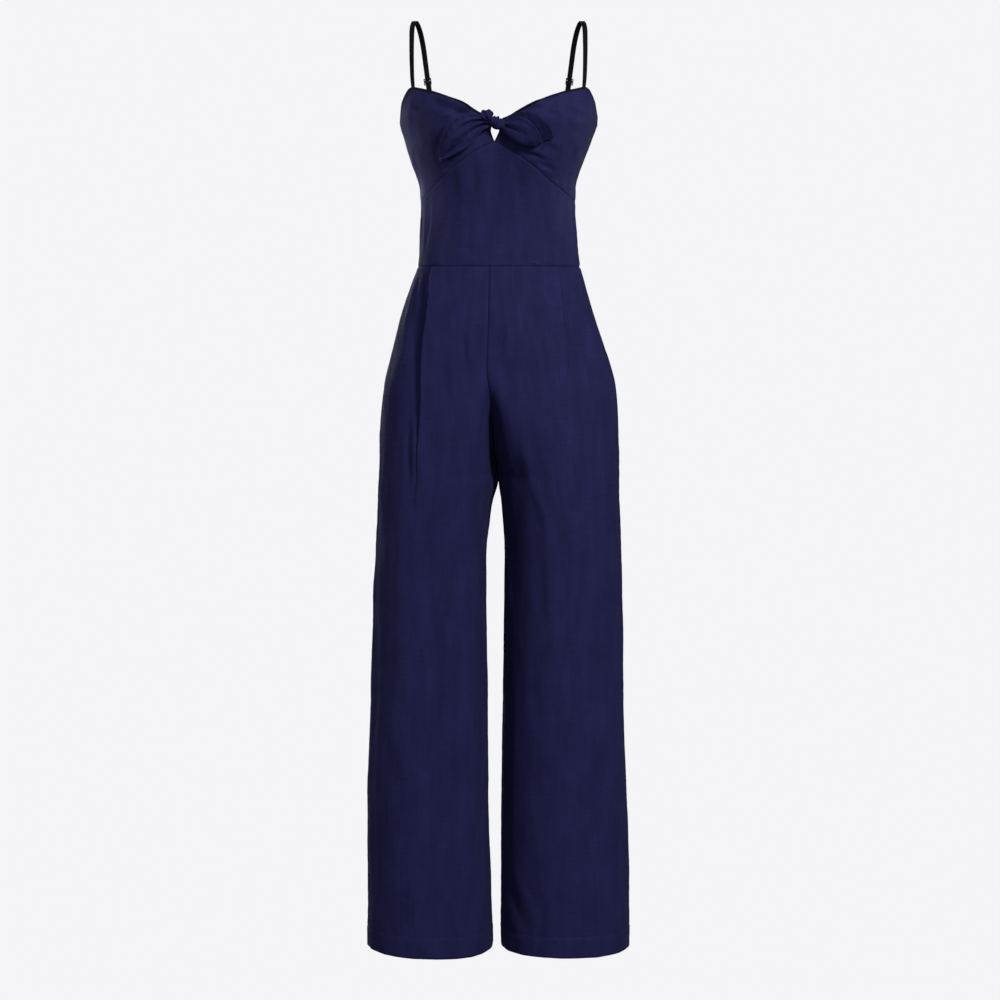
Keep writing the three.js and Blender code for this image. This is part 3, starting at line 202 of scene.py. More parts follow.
# Creases of one panel each, by the view they are placed in: their height (negative for a trough), their
# width, and their route in that view, across and up
CREASES = {
    "cup_right": {
        "front": [
            (-8, 4.6, [(-96, -129), (-80, -135), (-63, -140), (-42, -146)]),
            (3.4, 3.6, [(-100, -119), (-76, -124), (-54, -131), (-32, -143)]),
            (-2, 3, [(-140, -121), (-128, -134), (-112, -142)]),
            (1.8, 3, [(-143, -135), (-130, -148), (-112, -155)]),
            (-2, 3.5, [(-136, -160), (-122, -152), (-104, -151)]),
            (1.6, 5, [(-110, -175), (-118, -205), (-112, -235)]),
            (-1.4, 4, [(-92, -215), (-70, -226), (-48, -224)]),
            (-1.6, 3, [(-15, -166), (-30, -178), (-50, -196)]),
            (-9, 3.6, [
                (-92, -207), (-90, -180), (-81.5, -161), (-67, -149), (-53, -143), (-40, -141.5),
            ]),
        ],
        "side": [
            (-1.9, 4, [(-40, -170), (-18, -196), (-8, -232)]),
            (1.9, 4, [(-52, -190), (-30, -220), (-14, -250)]),
        ],
    },
    "cup_left": {
        "front": [
            (-3.8, 2.6, [(30, -147), (42, -139.8), (55, -136), (76, -139.5)]),
            (-3, 2.4, [(62, -146), (74, -143), (86, -146), (94, -156)]),
            (2.6, 3.2, [(20, -144), (44, -131), (70, -127), (92, -130)]),
            (2, 3, [(104, -128), (118, -137), (134, -141)]),
            (-2, 3, [(100, -137), (117, -147), (136, -150)]),
            (-1.6, 2.6, [(66, -191), (76, -193), (88, -198)]),
            (-2.6, 2.4, [(40, -203), (54, -206), (70, -214)]),
            (-2.4, 2.4, [(55, -213), (66, -219), (84, -226)]),
            (2, 3.6, [(38, -197), (60, -201), (82, -212)]),
            (1.5, 5, [(108, -170), (120, -200), (110, -232)]),
            (-1.6, 3, [(8, -170), (20, -186), (34, -198)]),
        ],
        "side": [
            (-2.1, 4, [(-44, -165), (-22, -190), (-10, -235)]),
            (1.8, 4, [(-54, -200), (-30, -226), (-16, -255)]),
        ],
    },
    "midriff": {
        "front": [
            (-1.5, 3.5, [(-34, -212), (-38, -236), (-36, -262)]),
            (1.4, 5, [(-20, -205), (-24, -240), (-22, -285)]),
            (-1.3, 4, [(2, -200), (3, -230), (0, -270)]),
            (-1.7, 3.5, [(26, -216), (30, -240), (29, -272)]),
            (1.4, 4.5, [(40, -226), (45, -252), (43, -290)]),
            (-1.7, 3.5, [(56, -240), (60, -262), (57, -300)]),
            (-2.4, 2.6, [(-107, -268), (-104, -300), (-109, -338)]),
            (2.2, 2.6, [(-99, -262), (-97, -292), (-102, -330)]),
            (1.8, 4, [(100, -262), (104, -290), (100, -320)]),
            (-1.3, 5, [(-88, -350), (-60, -342), (-30, -346)]),
            (0.9, 5, [(30, -350), (62, -343), (92, -349)]),
        ],
        "side": [
            (-2.6, 3.5, [(-30, -276), (-24, -300), (-32, -330)]),
            (2.2, 4, [(-14, -290), (-16, -320), (-12, -352)]),
            (-1.9, 4, [(-52, -300), (-46, -322), (-52, -350)]),
        ],
    },
    "bodice_back_right": {
        "back": [
            (-2.4, 4, [(-112, -262), (-84, -280), (-50, -286)]),
            (2.1, 5, [(-104, -246), (-74, -262), (-42, -264)]),
            (-2.1, 4, [(-110, -320), (-80, -332), (-44, -330)]),
            (1.8, 5, [(-60, -196), (-64, -230), (-58, -260)]),
            (-1.7, 4, [(-34, -202), (-36, -236), (-30, -270)]),
        ],
        "side": [
            (2, 4, [(24, -260), (34, -292), (28, -330)]),
            (-2.2, 4, [(14, -268), (16, -300), (12, -345)]),
        ],
    },
    "bodice_back_left": {
        "back": [
            (-2.5, 4, [(110, -272), (80, -286), (40, -288)]),
            (2, 5, [(106, -290), (76, -303), (48, -300)]),
            (-1.8, 4, [(106, -232), (84, -246), (56, -248)]),
            (1.8, 5, [(50, -200), (56, -226), (52, -262)]),
            (-1.7, 4, [(28, -205), (30, -242), (36, -276)]),
        ],
        "side": [
            (2, 4, [(28, -256), (38, -286), (30, -326)]),
            (-2.1, 4, [(13, -272), (17, -306), (11, -350)]),
        ],
    },
    "trouser_front_right": {
        "front": [
            (4, 2.8, [(-125, -388), (-132, -430), (-143, -480)]),
            (-3.4, 2.4, [(-119, -376), (-127, -415), (-138, -462)]),
            (3, 2.4, [(-113, -376), (-118, -405), (-127, -446)]),
            (-3, 2.4, [(-127, -380), (-136, -415), (-148, -456)]),
            (1.8, 3.5, [(-136, -470), (-150, -520), (-156, -575)]),
            (-4, 3, [(-134, -590), (-134, -640), (-132, -690)]),
            (3, 3.6, [(-125, -590), (-127, -650), (-129, -705)]),
            (-3.6, 3.4, [(-52, -462), (-50, -494), (-45, -528)]),
            (1.6, 6, [(-72, -440), (-74, -500), (-70, -560)]),
            (-2, 5, [(-160, -700), (-165, -730), (-158, -770)]),
            (1.4, 5, [(-150, -735), (-164, -780), (-172, -830)]),
            (-0.9, 2.5, [(-68, -706), (-70, -722), (-77, -742)]),
            (-2.2, 5, [(-24, -560), (-19, -610), (-16, -655)]),
            (1.4, 8, [(-44, -600), (-46, -660), (-42, -720)]),
            (3.4, 6.5, [(-84, -660), (-67, -782), (-51, -859), (-54, -945), (-62, -1100)]),
            (-2.6, 8, [(-106, -780), (-98, -880), (-92, -1000), (-96, -1150)]),
            (-1.8, 4, [(-64, -712), (-67, -740), (-75, -770)]),
            (4, 2, [(-22, -1040), (-20.5, -1110), (-21, -1180), (-23, -1250)]),
            (3.6, 2, [(-31, -1215), (-32, -1270), (-29, -1340)]),
            (-1.4, 7, [(-88, -900), (-92, -1010), (-84, -1130)]),
            (-1.5, 8, [(-66, -1120), (-70, -1240), (-62, -1390)]),
            (1.6, 9, [(-128, -1150), (-134, -1270), (-130, -1400)]),
        ],
        "side": [
            (-2.7, 5, [(-40, -640), (-30, -700), (-36, -780)]),
            (3, 6, [(-22, -760), (-26, -900), (-20, -1060)]),
            (-3, 7, [(-52, -900), (-48, -1080), (-54, -1300)]),
        ],
    },
    "trouser_front_left": {
        "front": [
            (-3.6, 2.4, [(10, -456), (8, -478), (0, -491), (-12, -491)]),
            (2, 4, [(14, -440), (15, -470), (8, -502)]),
            (-2, 3, [(34, -432), (37, -455), (41, -474)]),
            (-2.4, 5, [(61, -470), (66, -510), (67, -556)]),
            (1.2, 4, [(94, -384), (100, -400), (106, -420)]),
            (-1, 4, [(104, -386), (110, -410), (118, -440)]),
            (-3, 6, [(8, -570), (9, -610), (12, -665)]),
            (-2.4, 6, [(20, -700), (23, -820), (24, -960)]),
            (4.2, 1.9, [(12.5, -765), (14.5, -830), (19, -895)]),
            (2.8, 6, [
                (24, -500), (30, -560), (39, -640), (54, -700), (73, -760), (76, -860), (86, -960),
            ]),
            (-2.8, 4.5, [(102, -820), (99, -890), (95, -970)]),
            (2, 8, [(92, -980), (98, -1070), (92, -1180)]),
            (-3, 5, [(8, -1285), (22, -1330), (42, -1374)]),
            (2.4, 5, [(20, -1262), (36, -1312), (58, -1360)]),
            (1.5, 7, [(60, -1150), (64, -1270), (58, -1395)]),
            (-1.5, 8, [(112, -1180), (118, -1290), (112, -1400)]),
            (1.2, 6, [(150, -560), (156, -640), (154, -730)]),
        ],
        "side": [
            (-2.7, 5, [(-38, -600), (-30, -680), (-38, -760)]),
            (3, 6, [(-20, -720), (-26, -880), (-22, -1040)]),
            (-3, 7, [(-50, -920), (-46, -1100), (-52, -1320)]),
        ],
    },
    "trouser_back_right": {
        "back": [
            (-3.4, 5, [(-24, -590), (-60, -640), (-104, -662)]),
            (2.7, 6, [(-30, -560), (-70, -604), (-116, -622)]),
            (-2.7, 5, [(-20, -640), (-44, -700), (-80, -744)]),
            (3.1, 7, [(-40, -420), (-46, -480), (-42, -545)]),
            (-2.4, 6, [(-92, -400), (-100, -460), (-98, -530)]),
            (-3.4, 8, [(-82, -800), (-86, -960), (-78, -1140)]),
            (3.4, 8, [(-134, -880), (-140, -1060), (-132, -1260)]),
            (-3.1, 7, [(-40, -1100), (-44, -1240), (-38, -1395)]),
        ],
        "side": [
            (3.1, 6, [(34, -620), (26, -720), (34, -840)]),
            (-3.4, 6, [(20, -840), (26, -1000), (18, -1200)]),
        ],
    },
    "trouser_back_left": {
        "back": [
            (-3.7, 5, [(22, -600), (56, -648), (100, -676)]),
            (2.9, 6, [(26, -572), (64, -612), (108, -636)]),
            (-2.5, 5, [(20, -660), (48, -716), (88, -752)]),
            (2.7, 7, [(46, -430), (52, -490), (48, -556)]),
            (-2.5, 6, [(98, -410), (104, -470), (100, -540)]),
            (-3.2, 8, [(86, -840), (80, -1000), (88, -1180)]),
            (3.6, 8, [(136, -860), (130, -1040), (138, -1240)]),
            (-2.9, 7, [(44, -1120), (38, -1260), (44, -1398)]),
        ],
        "side": [
            (2.9, 6, [(30, -640), (36, -740), (28, -860)]),
            (-3.4, 6, [(18, -860), (24, -1020), (20, -1220)]),
        ],
    },
}

# Free end of the tie on the wearer's right: its upper and lower edges and its height over the cup
RIGHT_TAIL = curves("along up_x up_z low_x low_z up middle low", [
    (0, -6, -154, -4, -161, 8, 10, 9),
    (1, -27, -147, -21, -168.6, 7, 9, 10),
    (2, -41.6, -145.8, -30, -177.3, 7, 10, 10),
    (3, -53.3, -147.5, -38.7, -187.5, 7, 11, 10),
    (4, -64.5, -153, -47.5, -196.2, 7, 11, 9),
    (5, -77, -164.5, -61, -204, 7, 10, 8),
    (6, -84.5, -182, -74, -210, 6, 8, 7),
    (7, -87.5, -205, -85, -213, 5, 5.5, 5.5),
])
# Free end on the wearer's left, folded lengthwise: the edge behind, the fold and the edge in front
LEFT_TAIL = curves("along back_x back_z fold_x fold_z edge_x edge_z lift rim", [
    (0, 3, -156, 3, -165, 5, -156.5, 10, 0),
    (1, 18, -148.5, 11, -175, 19, -152.5, 12, 4),
    (2, 30, -144.2, 21, -183.5, 29, -150.5, 14, 8),
    (3, 42, -143, 31, -189, 39, -153.5, 15, 10),
    (4, 54.5, -147, 42, -192, 48, -160, 15, 11),
    (5, 66.5, -155.5, 50.5, -192.5, 55, -168, 14, 10.5),
    (6, 76, -167, 57, -190, 59.5, -177, 12, 8),
    (7, 81.5, -181, 61.5, -186, 61.8, -185, 10, 3),
])
LEFT_TAIL_BACK = 2.6
RIM_SHARPNESS = 1.5
RIM_RISE = 1.45
TAIL_CLOTH = 1.2
TAIL_LENGTH = 7

# Gathers of the tails. A group grows and fades again between these shares of the tail's length. Each of
# its gathers has a place across the tail, a drift towards the free end, a width and a height.
GatherGroup = namedtuple("GatherGroup", "in_from in_to out_from out_to gathers")
RIGHT_GATHERS = [
    GatherGroup(-1, 0, 0.3, 0.8, [
        (0.22, 0, 0.06, 2.4), (0.38, 0, 0.05, -5.2), (0.53, 0, 0.055, 3.2), (0.67, 0, 0.045, -5.2),
    ]),
    GatherGroup(0.02, 0.2, 0.8, 1, [
        (0.95, 0, 0.05, 3.2), (0.82, -0.06, 0.065, -4.6), (0, 0, 0.1, 4), (0.17, 0, 0.06, -1.6),
    ]),
    GatherGroup(0.3, 0.6, 1, 2, [(0.35, 0, 0.08, 0.5), (0.15, 0, 0.06, -0.5)]),
]
LEFT_GATHERS = [
    GatherGroup(-1, 0, 0.2, 0.6, [(0.66, 0, 0.07, 2), (0.42, 0, 0.06, -2.6)]),
    GatherGroup(0.1, 0.3, 1, 2, [(0.97, 0, 0.04, 1.2)]),
]

# The two turns of the knot: centre, half-sizes, turn in the plane of the front, twist of the gathers, and
# the gathers' ridges: place along the turn, width and height
KnotTurn = namedtuple("KnotTurn", "x z half_long half_short half_deep turn twist ridges")
KNOT_BAND = KnotTurn(-2, -158.4, 14.2, 8.4, 9, -28, 0.22, [
    (-0.9, 0.05, 1.6), (-0.68, 0.075, 2.4), (-0.4, 0.06, 1.7), (-0.14, 0.08, 2.6), (0.14, 0.06, 1.8),
    (0.4, 0.08, 2.4), (0.68, 0.06, 1.9), (0.9, 0.05, 1.4),
])
KNOT_LOBE = KnotTurn(-17.5, -147, 10.5, 8, 7.5, 14, 0.4, [
    (-0.75, 0.1, 1.4), (-0.25, 0.13, 2.2), (0.3, 0.1, 1.6), (0.72, 0.1, 1.8),
])
KNOT_STANDS_OFF = 1.5
KNOT_GRID = (90, 96)
KNOT_END = 0.03
KNOT_TAPER = 0.6

# Route of a shoulder strap for the wearer's left, with the turn of its width seen from above
STRAP_ROUTE = [
    (128.8, -48, -86, 42), (129.5, -46, -62, 34), (129.8, -38, -34, 26), (129.2, -23, -9.8, 14),
    (125.5, 0, 0.8, 4), (120, 23, -9.5, -4), (115.2, 41, -31, -9), (111.4, 54, -60, -14),
    (107, 63.5, -95, -21), (102.3, 69, -130, -30),
]
STRAP = {"width": 8, "thick": 1.2}
STRAP_FRONT = {"deg": 60.5, "z": -114, "edge_z": -105}
STRAP_BACK_DEG = 138
PROBE_DEG = 0.5
WALL_CLOTH = 1.6
SEWN_GAP = 0.7
SEAM_GAP = 0.3
LOOP = {"width": 8, "thick": 1, "below": 14, "above": 9}
SLIDER = {"from_ring": 76, "width": 12, "height": 10, "bar": 1.5, "thick": 1.2, "lift": 1.5}
RING = {"width": 13, "height": 9, "bar": 1.2, "thick": 1}
RING_ROOM = 0.7
RING_APART = RING["thick"] + 2 * RING_ROOM
STRAIGHT_END = 7
SLOPE_ROOM = 0.15
RIBBON_EDGE = 0.25
RIBBON_FLAT = 0.6
RIBBON_SHOULDER = 0.8
CAST_EDGE = 0.38
CAST_SEGMENTS = 3
CAST_FROM_DEG = 40

# Zip down the middle of the back
ZIP = {"top_z": -187, "low_z": -545, "half": 10, "thick": 0.9, "gap": 1.6}
SLOT = {"half": 1.1, "low_z": -206}
ZIP_SLIDER = {
    "z": -198, "width": 6, "height": 10, "thick": 1, "inner": 2, "clear": 1, "lift": 0.7, "edge": 0.4,
    "neck": 1.2, "neck_high": 5, "neck_sunk": 0.5,
}
ZIP_PIN = {
    "out": 3.8, "radius": 0.6, "short": 0.1, "cheek_from": 1.75, "cheek_to": 2.7, "cheek_high": 3,
    "cheek_past": 0.4,
}
ZIP_PULL = {
    "eye_width": 2.6, "eye_outer": 1.9, "eye_hole": 0.9, "half_thick": 0.5, "dimple": 0.12,
    "dimple_down": 13, "dimple_spread": 3,
}
PULL_TOP, PULL_LOW = 1.4, 19
PULL_HALF_WIDTH = curves("down half", [
    (PULL_TOP, 0.8), (3, 0.85), (6, 1.5), (10, 2.6), (14, 3.2), (16.5, 2.9), (18, 2), (18.8, 0.8),
    (PULL_LOW, 0.2),
])["half"]
TOOTH = {"long": 2.6, "wide": 0.75, "thick": 0.9, "pitch": 1.3, "off_middle": 0.7, "clear": 0.35}
TEETH_FROM, TEETH_TO = SLOT["low_z"] - 1, ZIP["low_z"] + 3

# Sewing: how near to a seam the creases fade, the valley of a seam and its pucker, the turned hem, the
# stitches, the bindings, and the end of thread over the waist seam
SEAM_CALM = 9
SEAM = {"depth": 1.2, "reach": 1.7, "sharp": 1.3, "pucker": 0.42, "pucker_from": 2, "pucker_to": 7}
HEM = {"soft": 0.6, "thick": 0.9, "out": 0.35, "wave": 0.25, "dip": 0.55, "dip_wide": 1.1,
       "pucker": 0.3, "pucker_wide": 6}
HEM_COLUMN = 40
STITCH = {"long": 2.6, "gap": 0.9, "lift": 0.1, "wide": 0.36, "thick": 0.324}
BINDING = {"wide": 3.4, "keyhole_wide": 1.6, "thick": 0.5, "past": 0.7}
LOOSE_THREAD = {
    "x": (45, 72), "z": (-361, -367.5), "wave": 1.2, "wave_turns": 5, "lift": 0.9, "bow": 1.3,
    "radius": 0.24, "tip": 0.02, "taper": 0.3,
}

# Low unevenness of the cloth: height, wavelength, seed, and the share of its steepness that it keeps
# down the cloth
RIPPLES = [(0.45, 46, 5, 0.45), (0.13, 15, 9, 0.45), (0.22, 22, 13, 0.12)]
TAIL_RIPPLE = (0.3, 12, 21, 0.45)
RIPPLE_WAVES = 14
RIPPLE_RANGE = (0.6, 1.5)

# Waves along a seam: length and size
WOBBLES = [(4.7, 1.0), (8.3, 0.9), (2.9, 0.5), (19, 0.7)]

# Fineness of the meshes: how much closer rows and columns lie at the edges, and how many there are
ROWS_CLOSE, COLUMNS_CLOSE = 0.6, 0.4
LEG_CLOSE, TAIL_CLOSE, PLEAT_CLOSE, PLEAT_POWER = 0.5, 0.5, 0.3, 1.1
CUP_GRID = (60, 104)
MIDRIFF_GRID = (72, 200)
BACK_GRID = (96, 96)
LEG_ROWS = (84, 126)
FRONT_COLUMNS = (58, 46)
BACK_COLUMNS = 84
RIGHT_TAIL_GRID = (72, 97)
LEFT_TAIL_GRID = (89, 97)
ZIP_TAPE_GRID = (91, 9)
STRAP_STEPS = {"front": 190, "slider": 22, "back": 50}
HALF_TURN_STEPS = 10
LOOP_SEWN_STEPS = 10
LOOP_FREE_SHARES = (0.6, 0.7, 0.8, 0.9, 1)
ZIP_STEPS = {"pin": 16, "eye": 40, "section": 14, "drop": 44}
THREAD_STEPS = {"long": 40, "round": 6}
ROUTE_STEPS = 24
SWAY_ROUNDS = 6
PATH_SAMPLES = 2400
CAPSULE_SIDES = 6

# Helpers for shapes


def lerp(a, b, t):
    return a + (b - a) * t


def bell(distance, spread):
    return np.exp(-0.5 * (distance / spread) ** 2)


def smooth(low, high, value):
    t = np.clip((value - low) / (high - low), 0, 1)
    return t * t * (3 - 2 * t)


def rounded(share):
    """Coordinate of a squarish section from a sine or cosine."""
    return np.abs(share) ** (2 / SQUARENESS)


def unit(vectors):
    return vectors / np.maximum(np.linalg.norm(vectors, axis=-1, keepdims=True), 1e-9)


def point(*parts):
    return np.stack(np.broadcast_arrays(*parts), axis=-1).astype(float)


def wobble(along, seed):
    """An uneven wave along a seam, from about -1 to 1."""
    total = sum(size * np.sin(along / length + seed * (3 + i)) for i, (length, size) in enumerate(WOBBLES))
    return total / 2


def ripple(points, height, wavelength, seed, tall):
    """An uneven low relief over the cloth, longer down the cloth than across it."""
    rng = np.random.default_rng(seed)
    total = np.zeros(points.shape[:-1])
    for _ in range(RIPPLE_WAVES):
        way = rng.normal(size=3) * np.array([1, 1, tall])
        way *= 2 * math.pi / wavelength / np.linalg.norm(way) * rng.uniform(*RIPPLE_RANGE)
        total += np.sin(points @ way + rng.uniform(0, 2 * math.pi))
    return height * (total / math.sqrt(RIPPLE_WAVES))


# The garment's outer face, as in the frame


def half_width(x, z):
    bodice = np.where(x < 0, BODICE["right"](z), BODICE["left"](z))
    legs = np.where(x < 0, TROUSERS["out_right"](z), TROUSERS["out_left"](z))
    return np.where(z > WAIST_Z, bodice, legs)


def cup_fullness(x, z):
    mound = CUP_MOUND["height"] * bell(np.abs(x) - CUP_MOUND["x"], CUP_MOUND["spread_x"])
    mound = mound * bell(z - CUP_MOUND["z"], CUP_MOUND["spread_z"])
    hollow = CUP_HOLLOW["depth"] * bell(x, CUP_HOLLOW["spread_x"])
    return mound - hollow * bell(z - CUP_HOLLOW["z"], CUP_HOLLOW["spread_z"])


def level_of(share):
    share = np.clip(np.abs(share), 0, 1)
    return (1 - share**SQUARENESS) ** (1 / SQUARENESS)


def front_depth(x, z):
    level = level_of(x / half_width(x, z))
    return -BODICE["front"](z) * level - cup_fullness(x, z) * np.sqrt(level)


def sway(points):
    """Swings the middle of the front; the side seams stay."""
    x, z = points[..., 0], points[..., 2]
    share = np.maximum(0, 1 - (x / half_width(x, z)) ** 2)
    moved = points.copy()
    moved[..., 0] += np.where(z > CROTCH_Z, FRONT_SWAY(z) * share, 0)
    return moved


def before_sway(x, z):
    before = x
    for _ in range(SWAY_ROUNDS):
        before = x - FRONT_SWAY(z) * (1 - (before / half_width(before, z)) ** 2)
    return before


def over_cup(x, z, height):
    return point(x, front_depth(before_sway(x, z), z) - height, z)


def bodice_point(side, deg, z):
    """Outer face of the bodice: 0 degrees is the middle of the front and 180 the middle of the back."""
    angle = np.radians(deg)
    half = np.where(side < 0, BODICE["right"](z), BODICE["left"](z))
    x = side * half * rounded(np.sin(angle))
    back = BODICE["back"](z) * rounded(np.cos(angle))
    return point(x, np.where(deg <= 90, front_depth(x, z), back), z)


def leg_section(side, z):
    outer = TROUSERS["out_right" if side < 0 else "out_left"](z)
    inner = TROUSERS["in_right" if side < 0 else "in_left"](z)
    centre = TROUSERS["lean"](z) * (outer + inner) / 2
    rise = TROUSERS["rise"](z)
    out_reach = outer - centre
    above = np.where(rise > 1e-4, centre / np.maximum(rise, 1e-4), out_reach)
    in_reach = np.where(z > CROTCH_Z, above, centre - inner)
    clip = np.where(z > CROTCH_Z, np.arccos(-np.clip(rise, 0, 1) ** (SQUARENESS / 2)), math.pi)
    return centre, out_reach, in_reach, clip


def pleat_angle(side, z):
    centre, out_reach, _, _ = leg_section(side, z)
    share = np.clip((PLEATS[side]["x"](z) - centre) / out_reach, 0, 1)
    return np.arccos(share ** (SQUARENESS / 2))


def pleat_profile(distance):
    inside = np.exp(-np.maximum(distance, 0) / PLEAT_INNER)
    step = 1 + 2 * distance / PLEAT_STEP
    outside = -bell(distance + PLEAT_STEP, PLEAT_OUTER)
    return np.where(distance >= 0, inside, np.where(distance > -PLEAT_STEP, step, outside))


def fold_height(side, face, x, z):
    height = np.zeros(np.shape(x))
    for fold in LEG_FOLDS:
        if (fold.side, fold.face) != (side, face):
            continue
        along = np.clip((fold.top_z - z) / (fold.top_z - fold.low_z), 0, 1)
        centre = lerp(fold.top_x, fold.low_x, along)
        strength = np.sin(math.pi * along) ** FOLD_TAPER
        height += fold.height * strength * bell(np.abs(x) - centre, fold.width / 2)
    return height


def leg_point(side, face, angle, z):
    """Outer face of a leg: angle 0 is the side seam, and the clip angle the rise or the inseam."""
    centre, out_reach, in_reach, _ = leg_section(side, z)
    across, deep = np.cos(angle), np.sin(angle)
    reach = np.where(across > 0, out_reach, in_reach)
    x = side * (centre + np.sign(across) * reach * rounded(across))
    depth = TROUSERS["front" if face == FRONT else "back"](z)
    out = fold_height(side, face, x, z) * deep
    hang = 0
    if face == FRONT:
        distance = (angle - pleat_angle(side, z)) * depth
        at_seams = np.minimum(1, deep * PLEAT_EASE)
        out = out + PLEATS[side]["height"](z) * pleat_profile(distance) * at_seams / 2
        low = np.clip((z - DIP_FROM_Z) / (HEM_Z - DIP_FROM_Z), 0, 1) ** 2
        hang = HEM_DIP[side] * deep * (1 - HEM_SKEW[side] * across) * low
    y = face * (depth * rounded(deep) + deep * out)
    if face == FRONT:
        y = y * (1 - RISE_TUCK(z) * bell(x, RISE_TUCK_WIDTH))
    return point(x + side * across * out, y, z - hang)


def back_depth(x, z):
    side = RIGHT if x < 0 else LEFT
    if z > WAIST_Z:
        return BODICE["back"](z) * level_of(x / half_width(x, z))
    centre, out_reach, in_reach, _ = leg_section(side, z)
    from_centre = abs(x) - centre
    return TROUSERS["back"](z) * level_of(from_centre / (out_reach if from_centre > 0 else in_reach))


# Relief of the cloth


def smooth_route(route):
    """A smooth line through a crease's points."""
    route = np.array(route, float)
    at = np.arange(len(route))
    fine = np.linspace(0, len(route) - 1, ROUTE_STEPS + 1)
    return np.stack([Curve(at, route[:, axis])(fine) for axis in (0, 1)], axis=-1)


def crease_relief(height, width, route, across, up):
    """Height that one crease gives to the cloth at each place of its view."""
    line = smooth_route(route)
    reach = CREASE_REACH * width
    low, high = line.min(0) - reach, line.max(0) + reach
    near = (across > low[0]) & (across < high[0]) & (up > low[1]) & (up < high[1])
    relief = np.zeros(across.shape)
    if not near.any():
        return relief
    places = np.stack([across[near], up[near]], axis=-1)[:, None, :]
    start, step = line[None, :-1], np.diff(line, axis=0)[None]
    t = np.clip(((places - start) * step).sum(-1) / (step**2).sum(-1), 0, 1)
    distance = np.linalg.norm(places - (start + step * t[..., None]), axis=-1)
    nearest = distance.argmin(1)
    rows = np.arange(len(nearest))
    along = (nearest + t[rows, nearest]) / step.shape[1]
    taper = np.sin(math.pi * along) ** FOLD_TAPER
    widths_off = distance[rows, nearest] / width
    shape = bell(widths_off, 1) - BESIDE_DEEP * bell(widths_off, BESIDE_WIDE)
    relief[near] = height * taper * shape
    return relief


def creased(name, points, normals):
    """Height of all creases of a panel. They fade where the cloth turns away from their view."""
    relief = np.zeros(points.shape[:-1])
    x, y, z = np.moveaxis(points, -1, 0)
    for view, creases in CREASES[name].items():
        across, facing_axis = (y, 0) if view == "side" else (x, 1)
        facing = smooth(*CREASE_FACING, np.abs(normals[..., facing_axis]))
        for height, width, route in creases:
            relief += crease_relief(height, width, route, across, z) * facing
    return relief


def run(points, axis):
    """Distance along a grid from its first row or column."""
    steps = np.linalg.norm(np.diff(points, axis=axis), axis=-1)
    start = np.zeros_like(np.take(steps, [0], axis=axis))
    return np.concatenate([start, np.cumsum(steps, axis=axis)], axis=axis)


def grid_normals(points, outwards):
    down = np.gradient(points, axis=0)
    across = np.gradient(points, axis=1)
    return unit(np.cross(down, across)) * outwards


def spread(count, close):
    """Shares from 0 to 1, closer together near both ends."""
    even = np.linspace(0, 1, count + 1)
    return even - close * np.sin(2 * math.pi * even) / (2 * math.pi)


def seam_relief(distance, along, seed):
    """The valley of a seam, with the slight pucker that its stitches draw in the cloth beside it."""
    valley = -SEAM["depth"] * np.exp(-((distance / SEAM["reach"]) ** SEAM["sharp"]))
    beside = np.exp(-distance / SEAM["pucker_to"]) * (1 - np.exp(-distance / SEAM["pucker_from"]))
    return valley + SEAM["pucker"] * wobble(along, seed) * beside


# Meshes


def mesh_object(name, points, faces, uv=None):
    """An object from points in millimetres. uv is in millimetres of cloth and is kept in metres."""
    mesh = bpy.data.meshes.new(name)
    mesh.from_pydata((np.asarray(points) * MM).tolist(), [], [list(map(int, face)) for face in faces])
    if uv is not None:
        corners = np.zeros(len(mesh.loops), np.int32)
        mesh.loops.foreach_get("vertex_index", corners)
        layer = mesh.uv_layers.new(name="Weave")
        layer.data.foreach_set("uv", (np.asarray(uv)[corners] * MM).astype(np.float32).ravel())
    mesh.polygons.foreach_set("use_smooth", np.full(len(mesh.polygons), True))
    made = bpy.data.objects.new(name, mesh)
    bpy.context.scene.collection.objects.link(made)
    return made


def grid_faces(index):
    return np.stack([index[:-1, :-1], index[1:, :-1], index[1:, 1:], index[:-1, 1:]], -1).reshape(-1, 4)


RIM_BULGE = 0.35


def wall_object(name, outer, inner, uv, outwards):
    """A closed wall of cloth between two grids, with a rounded rim."""
    rows, columns = outer.shape[:2]
    index = np.arange(rows * columns).reshape(rows, columns)
    ring = np.concatenate([index[0, :-1], index[:-1, -1], index[-1, :0:-1], index[:0:-1, 0]])
    inward = np.concatenate([index[1, :-1], index[:-1, -2], index[-2, :0:-1], index[:0:-1, 1]])
    flat_outer, flat_inner = outer.reshape(-1, 3), inner.reshape(-1, 3)
    edge_way = unit(flat_outer[ring] - flat_outer[inward])
    thick = np.linalg.norm(flat_outer[ring] - flat_inner[ring], axis=-1, keepdims=True)
    rim = (flat_outer[ring] + flat_inner[ring]) / 2 + edge_way * thick * RIM_BULGE
    points = np.concatenate([flat_outer, flat_inner, rim])
    after = np.roll(np.arange(len(ring)), -1)
    rim_at = 2 * index.size + np.arange(len(ring))
    faces = np.concatenate([
        grid_faces(index),
        grid_faces(index)[:, ::-1] + index.size,
        np.stack([ring, ring[after], rim_at[after], rim_at], -1),
        np.stack([rim_at, rim_at[after], ring[after] + index.size, ring + index.size], -1),
    ])
    flat_uv = uv.reshape(-1, 2)
    all_uv = np.concatenate([flat_uv, flat_uv, flat_uv[ring]])
    return mesh_object(name, points, faces if outwards > 0 else faces[:, ::-1], all_uv)


